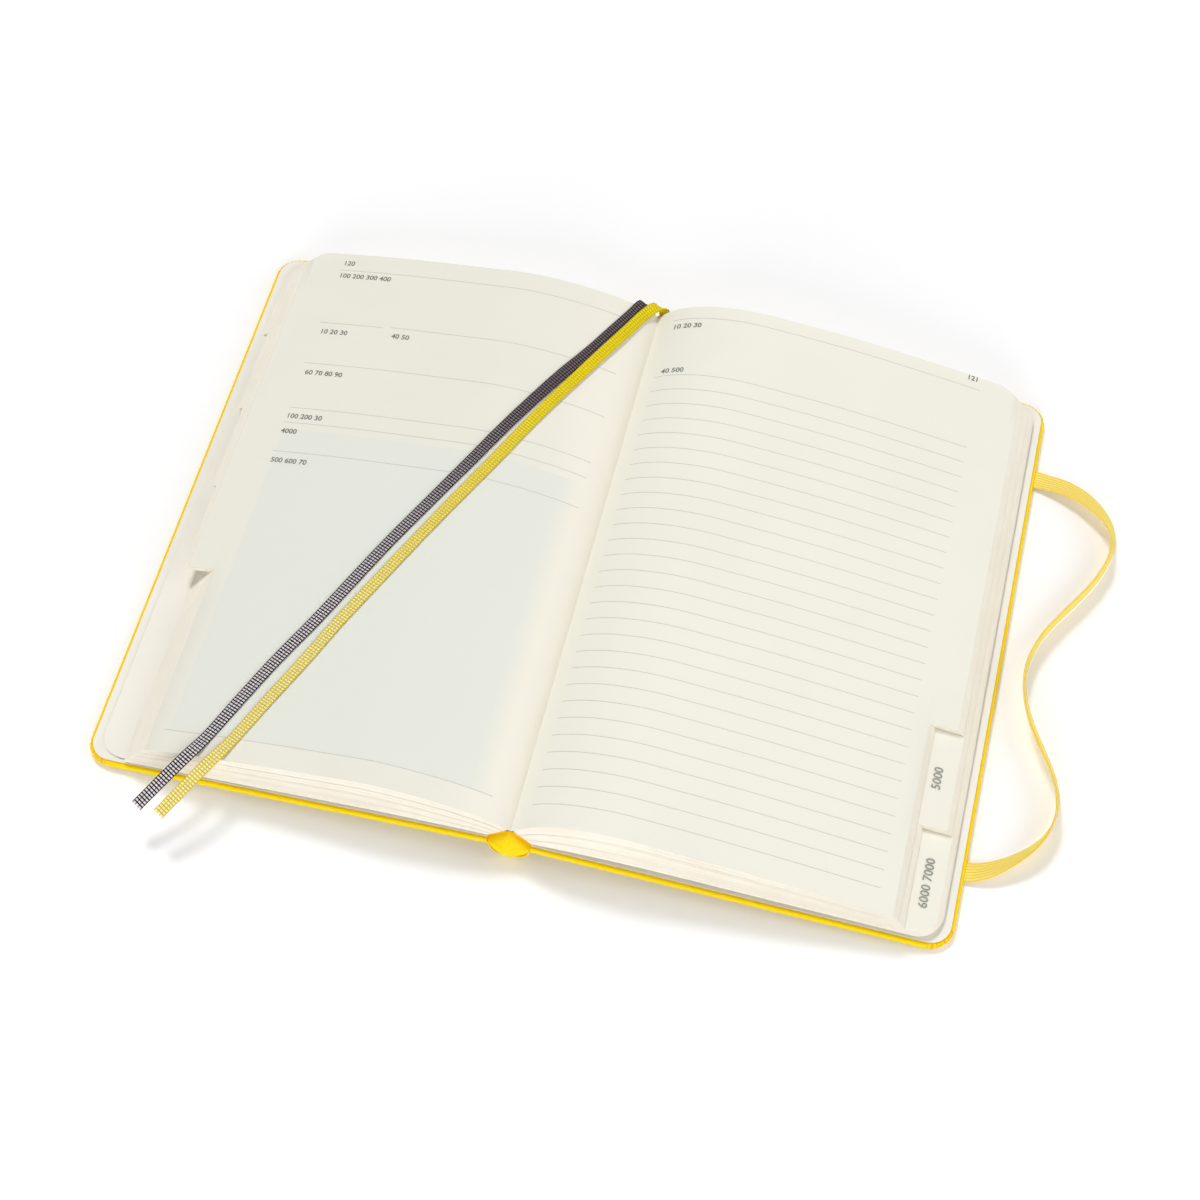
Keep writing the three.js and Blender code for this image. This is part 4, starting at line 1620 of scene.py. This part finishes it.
class LeafStack(Group):
    """Geometry nodes that repeat one leaf between the lowest and highest leaf of a section."""

    fill = 0.93
    unevenness = 0.09
    sideways = 0.7

    def __init__(self) -> None:
        """Lays out the nodes: so many leaves, their fill and unevenness, and what chance starts from."""
        kinds = {"Leaves": "Int", "Seed": "Int", "Fill": "Float", "Unevenness": "Float"}
        super().__init__("leaf_stack", kinds)
        single = self.node("GeometryNodeGeometryToInstance", None, {0: self.entry["Geometry"]})
        copies = {"Geometry": single.outputs[0], "Amount": self.entry["Leaves"]}
        many = self.node("GeometryNodeDuplicateElements", {"domain": "INSTANCE"}, copies).outputs
        numbered = self._keep(many["Geometry"], "number", many["Duplicate Index"], "INT", "INSTANCE")
        real = self.node("GeometryNodeRealizeInstances", None, {0: numbered}).outputs[0]
        number = self.stored("number", "INT")
        share = (number + self.stored("up") * self.given("Fill")) / self.given("Leaves")
        ends = {4: self.stored("low", "FLOAT_VECTOR"), 5: self.stored("high", "FLOAT_VECTOR")}
        mixed = self.node("ShaderNodeMix", {"data_type": "VECTOR"}, {0: share, **ends})
        most = self.given("Unevenness")
        chance = Value(self, self.node("FunctionNodeRandomValue", {"data_type": "FLOAT"}, {
            "Min": most * -1.0,
            "Max": most,
            "ID": number,
            "Seed": self.entry["Seed"],
        }).outputs[1])
        slip = self.node("ShaderNodeCombineXYZ", None, {"X": chance, "Y": chance * self.sideways}).outputs[0]
        loose = {0: slip, "Scale": self.stored("free")}
        placed = self.node("GeometryNodeSetPosition", None, {
            "Geometry": real,
            "Position": mixed.outputs[1],
            "Offset": self.node("ShaderNodeVectorMath", {"operation": "SCALE"}, loose).outputs[0],
        })
        self.give(self._keep(placed.outputs[0], "depth", share, "FLOAT", "POINT"))

    def _keep(
        self, geometry: bpy.types.NodeSocket, name: str, value: Shade | Value, kind: str, domain: str
    ) -> bpy.types.NodeSocket:
        """Stores a value on the geometry and passes it on."""
        settings = {"data_type": kind, "domain": domain}
        sockets = {"Geometry": geometry, "Name": name, "Value": value}
        return self.node("GeometryNodeStoreNamedAttribute", settings, sockets).outputs[0]

    def pile(
        self, name: str, slab: Slab, free: np.ndarray, leaves: int, seed: int, material: bpy.types.Material
    ) -> bpy.types.Object:
        """Repeats a leaf between the two sides of a slab.

        Args:
            name: the object's name.
            slab: the lowest leaf's points, and above them the highest leaf's.
            free: how far each point may slip, from 0 at the sewn back to 1.
            leaves: how many leaves there are.
            seed: what the leaves' small slips start from.
            material: the leaves' finish.

        Returns:
            The stack as one object.
        """
        mesh = raw_mesh(f"{name}_leaf", slab.points, slab.faces)
        store(mesh, "rim", slab.rim, "FACE")
        for word, grid in (("low", slab.low), ("high", slab.high)):
            store(mesh, word, slab.on_both(grid.reshape(-1, 3)) * MM)
        store(mesh, "up", np.repeat([0.0, 1.0], slab.used.size)[slab.keep])
        store(mesh, "free", slab.on_both(free.ravel()))
        inputs = {"Leaves": leaves, "Seed": seed, "Fill": self.fill, "Unevenness": self.unevenness * MM}
        return self.run(name, mesh, {**inputs, "Material": material})


@dataclass(frozen=True)
class Section:
    """A run of leaves between two marks of the index: its node, its row and its part of the fan."""

    node: str
    row: int
    start: float
    end: float
    leaves: int = 12


@dataclass(frozen=True)
class Figure:
    """A plain number on a page: where it starts, its size, its turn in degrees and its leaf."""

    text: str
    x: float
    y: float
    size: float = 2.75
    turn: float = 0.0
    leaf: float = 1.0


@dataclass
class Block:
    """All the leaves of one half."""

    fan: Fan
    sections: tuple[Section, ...]
    leaf: float = 0.25
    gap: float = 0.3
    top_gap: float = 0.12
    flyleaf: float = 0.25
    fold_depth: float = 0.45
    fold_gap: float = 0.02
    open_run: Point = (0.97, 1.0)
    over_page: float = 101.0
    over_hollow: float = 15.0
    lift_span: Point = (40.0, 75.0)
    first_seed: int = 7
    ink_spread: float = 0.045
    ink_lift: float = 0.05
    free_rise: float = 2.5
    probes: int = 240
    crisp: float = 40.0

    def build(self, stack: LeafStack, edges: bpy.types.Material, page: bpy.types.Material) -> None:
        """Makes the sections and the leaf that faces the reader."""
        for number, section in enumerate(self.sections):
            first, last = number == 0, number == len(self.sections) - 1
            floor = self.flyleaf + self.gap if first else self.gap / 2
            ceiling = -self.leaf - self.top_gap if last else -self.gap / 2
            shares, heights, used = self.fan.grid(section.row)
            low = self._leaf(shares, heights, section.start, floor)
            high = self._leaf(shares, heights, section.end, ceiling)
            free, seed = np.clip(shares * self.free_rise, 0, 1), self.first_seed + number
            name = section.node.replace("index_", "leaves_")
            made = stack.pile(name, Slab(low, high, used), free, section.leaves, seed, edges)
            sharpen(made, self.crisp)
            self.fan.follow(made, section.start, section.end)
            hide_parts(section.node)
            LOG.info("%s: %d leaves, %d faces", made.name, section.leaves, len(made.data.polygons))
        self._open_leaf(page)

    def _leaf(self, shares: np.ndarray, heights: np.ndarray, leaf: float, rise: float) -> np.ndarray:
        """Places a whole grid of points on one leaf."""
        flat = self.fan.surface(shares.ravel(), heights.ravel(), leaf, rise)
        return flat.reshape(*shares.shape, 3)

    def _open_leaf(self, page: bpy.types.Material) -> None:
        """Makes the leaf that faces the reader, with the fold that brings it to the gutter."""
        word = self.fan.half.word
        shares, heights, used = self.fan.grid(self.sections[-1].row)
        low = self._to_gutter(self._leaf(shares, heights, 1.0, -self.leaf), self.fold_depth + self.leaf)
        high = self._to_gutter(self._leaf(shares, heights, 1.0, 0.0), self.fold_depth)
        slab = Slab(low, high, np.hstack([used[:, :1], used]))
        made = make_mesh(f"{word}_open_page", slab.points, slab.faces)
        sharpen(made, self.crisp)
        dress(made, page)
        self.fan.follow(made, *self.open_run)
        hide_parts(f"{word}_open_leaf")
        LOG.info("%s: %d faces", made.name, len(made.data.polygons))

    def drape(self, route: Route, clearance: Point) -> Route:
        """Lays the part of a route that runs over the open page down onto it.

        Args:
            route: the route, from the hollow of the spine round the head of the page.
            clearance: how far above the page it runs, at the tail and at the head.

        Returns:
            The laid route.
        """
        rows = []
        for x, y, z, wide_x, wide_y, wide_z in route.rows:
            if abs(y) < self.over_page and z > self.over_hollow:
                slope = self.height_at(x + wide_x, y + wide_y) - self.height_at(x - wide_x, y - wide_y)
                z = self.height_at(x, y) + float(np.interp(y, self.lift_span, clearance))
                wide_z = slope / 2
            rows.append((x, y, z, wide_x, wide_y, wide_z))
        return replace(route, rows=tuple(rows))

    def _to_gutter(self, grid: np.ndarray, drop: float) -> np.ndarray:
        """Adds a first column of points that lies in the gutter, that far below the leaf's own."""
        fold = grid[:, :1].copy()
        fold[..., 0] = self.fan.half.value * self.fold_gap
        fold[..., 2] -= drop
        return np.concatenate([fold, grid], axis=1)

    def height_at(self, x: float, y: float, leaf: float = 1.0) -> float:
        """Gives the height of a leaf at a place on the page."""
        shares = np.linspace(0, 1, self.probes)
        line = self.fan.surface(shares, np.full(self.probes, y), leaf, 0.0)
        order = np.argsort(line[:, 0])
        return float(np.interp(x, line[order, 0], line[order, 2]))

    def print_figure(self, figure: Figure, ink: bpy.types.Material) -> None:
        """Prints a plain number on a page, as a thin layer that follows it.

        Args:
            figure: the number, and where it is.
            ink: its finish.
        """
        curve = bpy.data.curves.new("figure", "FONT")
        curve.body, curve.size = figure.text, figure.size
        curve.resolution_u, curve.offset = 3, self.ink_spread
        mesh = evaluated_mesh(add_object("figure", curve))
        spin = Matrix.Rotation(math.radians(figure.turn), 4, "Z")
        for vertex in mesh.vertices:
            place = spin @ vertex.co
            x, y = figure.x + place.x, figure.y + place.y
            vertex.co = Vector((x, y, self.height_at(x, y, figure.leaf) + self.ink_lift)) * MM
        made = add_object(f"figure_{self.fan.half.word}_{int(figure.y * 10)}", mesh)
        dress(made, ink)
        below = ((part.start, part.end) for part in self.sections if part.end == figure.leaf < 1)
        self.fan.follow(made, *next(below, self.open_run))


# The rest of the solids


class Hidden:
    """The solids that stay as they are and only get their finishes."""

    finishes: dict[str, tuple[str, ...]] = {
        "board": ("front_board", "back_board"),
        "lining": ("front_pastedown", "back_pastedown", "front_flyleaf", "back_flyleaf", "pocket_panel"),
        "gauze": ("front_mull", "back_mull", "pocket_gusset_head", "pocket_gusset_tail"),
    }

    def dress(self, materials: dict[str, bpy.types.Material]) -> None:
        """Gives each solid that is left its finish."""
        for name, nodes in self.finishes.items():
            for node in nodes:
                dress(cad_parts[node], materials[name])
                LOG.info("%s keeps its solid", node)


# The journal


LEFT_PAGE = PrintedPage(
    "left_page_print",
    # painted shade: this page's paper is darker than the right page's, and its gutter colour is a painted
    # highlight towards the gutter
    Paper("#eeecdf", "#f1eee1"),
    (
        Rule(95.0, -112, -7.5),
        Rule(71.0, -112, -89.5),
        Rule(71.4, -86.7, -8),
        Rule(52.9, -112, -7.5),
        Rule(33.5, -111.5, -7.5),
        Rule(27.2, -111.5, -7.5),
        Rule(15.0, -111.5, -7.5),
        Rule(-94.6, -112, -7.5),
    ),
    tint=Tint(-110.5, -7.5, -94.6, 24.3),
    gutter_painted_light="#fbf6e8",
)
RIGHT_PAGE = PrintedPage(
    "right_page_print",
    Paper(),
    (Rule(97.3, 6, 112.8),),
    ruling=Ruling(72.5, 6.19, 28, 5.0, 112.2),
)
LEFT_FIGURES = (
    Figure("120", -111.6, 97.3),
    Figure("100 200 300 400", -111.6, 91.6),
    Figure("10 20 30", -110.8, 66.2),
    Figure("40 50", -85.5, 66.9),
    Figure("60 70 80 90", -110.7, 48.0),
    Figure("100 200 30", -111.3, 29.0),
    Figure("4000", -111.2, 22.6),
    Figure("500 600 70", -111.0, 10.4),
)
RIGHT_FIGURES = (
    Figure("121", 107.6, 100.4),
    Figure("10 20 30", 6.6, 93.3),
    Figure("40 500", 6.8, 73.7),
)
TAB_FIGURES = (
    Figure("5000", 124.2, -55.5, 4.0, 90, 2 / 3),
    Figure("6000 7000", 126.9, -95.0, 4.0, 90, 1 / 3),
)


def front_block(case: Case) -> Block:
    """Describes the leaves on the front cover: sections 1 to 3 and the front part of 4."""
    fan = Fan(
        Half.FRONT,
        case,
        ((0.4, 0.75), (12, 1.1), (36, 1.5), (80, 0.9), (126, 0.4)),
        ((-6.4, 4.3), (-2.6, 7.2), (8, 11.3), (22, 14.4), (37, 16), (52, 15.1), (84, 12.4), (117.5, 7.9)),
        hinge=(-7.244, 8.93),
        fold_turn=64.6,
    )
    return Block(fan, (
        Section("index_section_1", 1, 0, 0.25),
        Section("index_section_2", 2, 0.25, 0.5),
        Section("index_section_3", 3, 0.5, 0.75),
        Section("index_section_4_front", 4, 0.75, 1),
    ))


def back_block(case: Case) -> Block:
    """Describes the leaves on the back cover: the rest of section 4, and sections 5 and 6."""
    fan = Fan(
        Half.BACK,
        case,
        ((0.4, 0.95), (12, 1.7), (36, 2.5), (80, 1.9), (126, 1.4)),
        ((-6.4, 4.3), (-3.2, 8), (1.5, 11.3), (10, 14.6), (23, 16.6), (38, 16), (68, 13.6), (119.5, 7.7)),
        hinge=(7.253, 9.129),
        fold_turn=65.9,
        head_rise=2.0,
    )
    return Block(fan, (
        Section("index_section_6", 6, 0, 1 / 3),
        Section("index_section_5", 5, 1 / 3, 2 / 3),
        Section("index_section_4_back", 4, 2 / 3, 1),
    ))


def main() -> None:
    """Builds the journal, the table and the camera."""
    logging.basicConfig(level=logging.INFO)
    Camera().build()
    Studio().build()
    yellow = Leatherette().material()
    edges = LeafEdges(Paper()).material()
    ink, pale = Ink().material(), Ink("tab_ink", "#999a92").material()

    ElasticStrap().build(Elastic().material())
    case, stack, ribs = Case(), LeafStack(), Ribs()
    for half in Half:
        case.cover(half, yellow)
    case.spine(yellow)

    front, back = front_block(case), back_block(case)
    front.build(stack, edges, LEFT_PAGE.material())
    plum = RibbonThread("plum_ribbon", "#241a1e", "#160f13", "#85787c", "#f3ecf0", 273.8)
    lemon = RibbonThread("yellow_ribbon", "#dfc400", "#bfa600", "#f4e430", "#fffbd0", 274.2)
    RibbonMarker("plum_marker", front.drape(PLUM_ROUTE, (0.4, 0.35)), plum, "plum_ribbon").build(ribs)
    RibbonMarker("yellow_marker", front.drape(YELLOW_ROUTE, (0.4, 0.9)), lemon, "yellow_ribbon").build(ribs)
    back.build(stack, edges, RIGHT_PAGE.material())
    for block, figures, colour in (
        (front, LEFT_FIGURES, ink),
        (back, RIGHT_FIGURES, ink),
        (back, TAB_FIGURES, pale),
    ):
        for figure in figures:
            block.print_figure(figure, colour)
    # painted bounce light: the endpaper's paper is lighter and warmer than the pages', for the light that
    # bounces into its shaded margins
    lining = Paper("#f6f3e6", "#fbf6ea").material("endpaper_lining_painted_bounce")
    Hidden().dress({"board": Greyboard().material(), "lining": lining, "gauze": Gauze().material()})


if __name__ == "__main__":
    main()
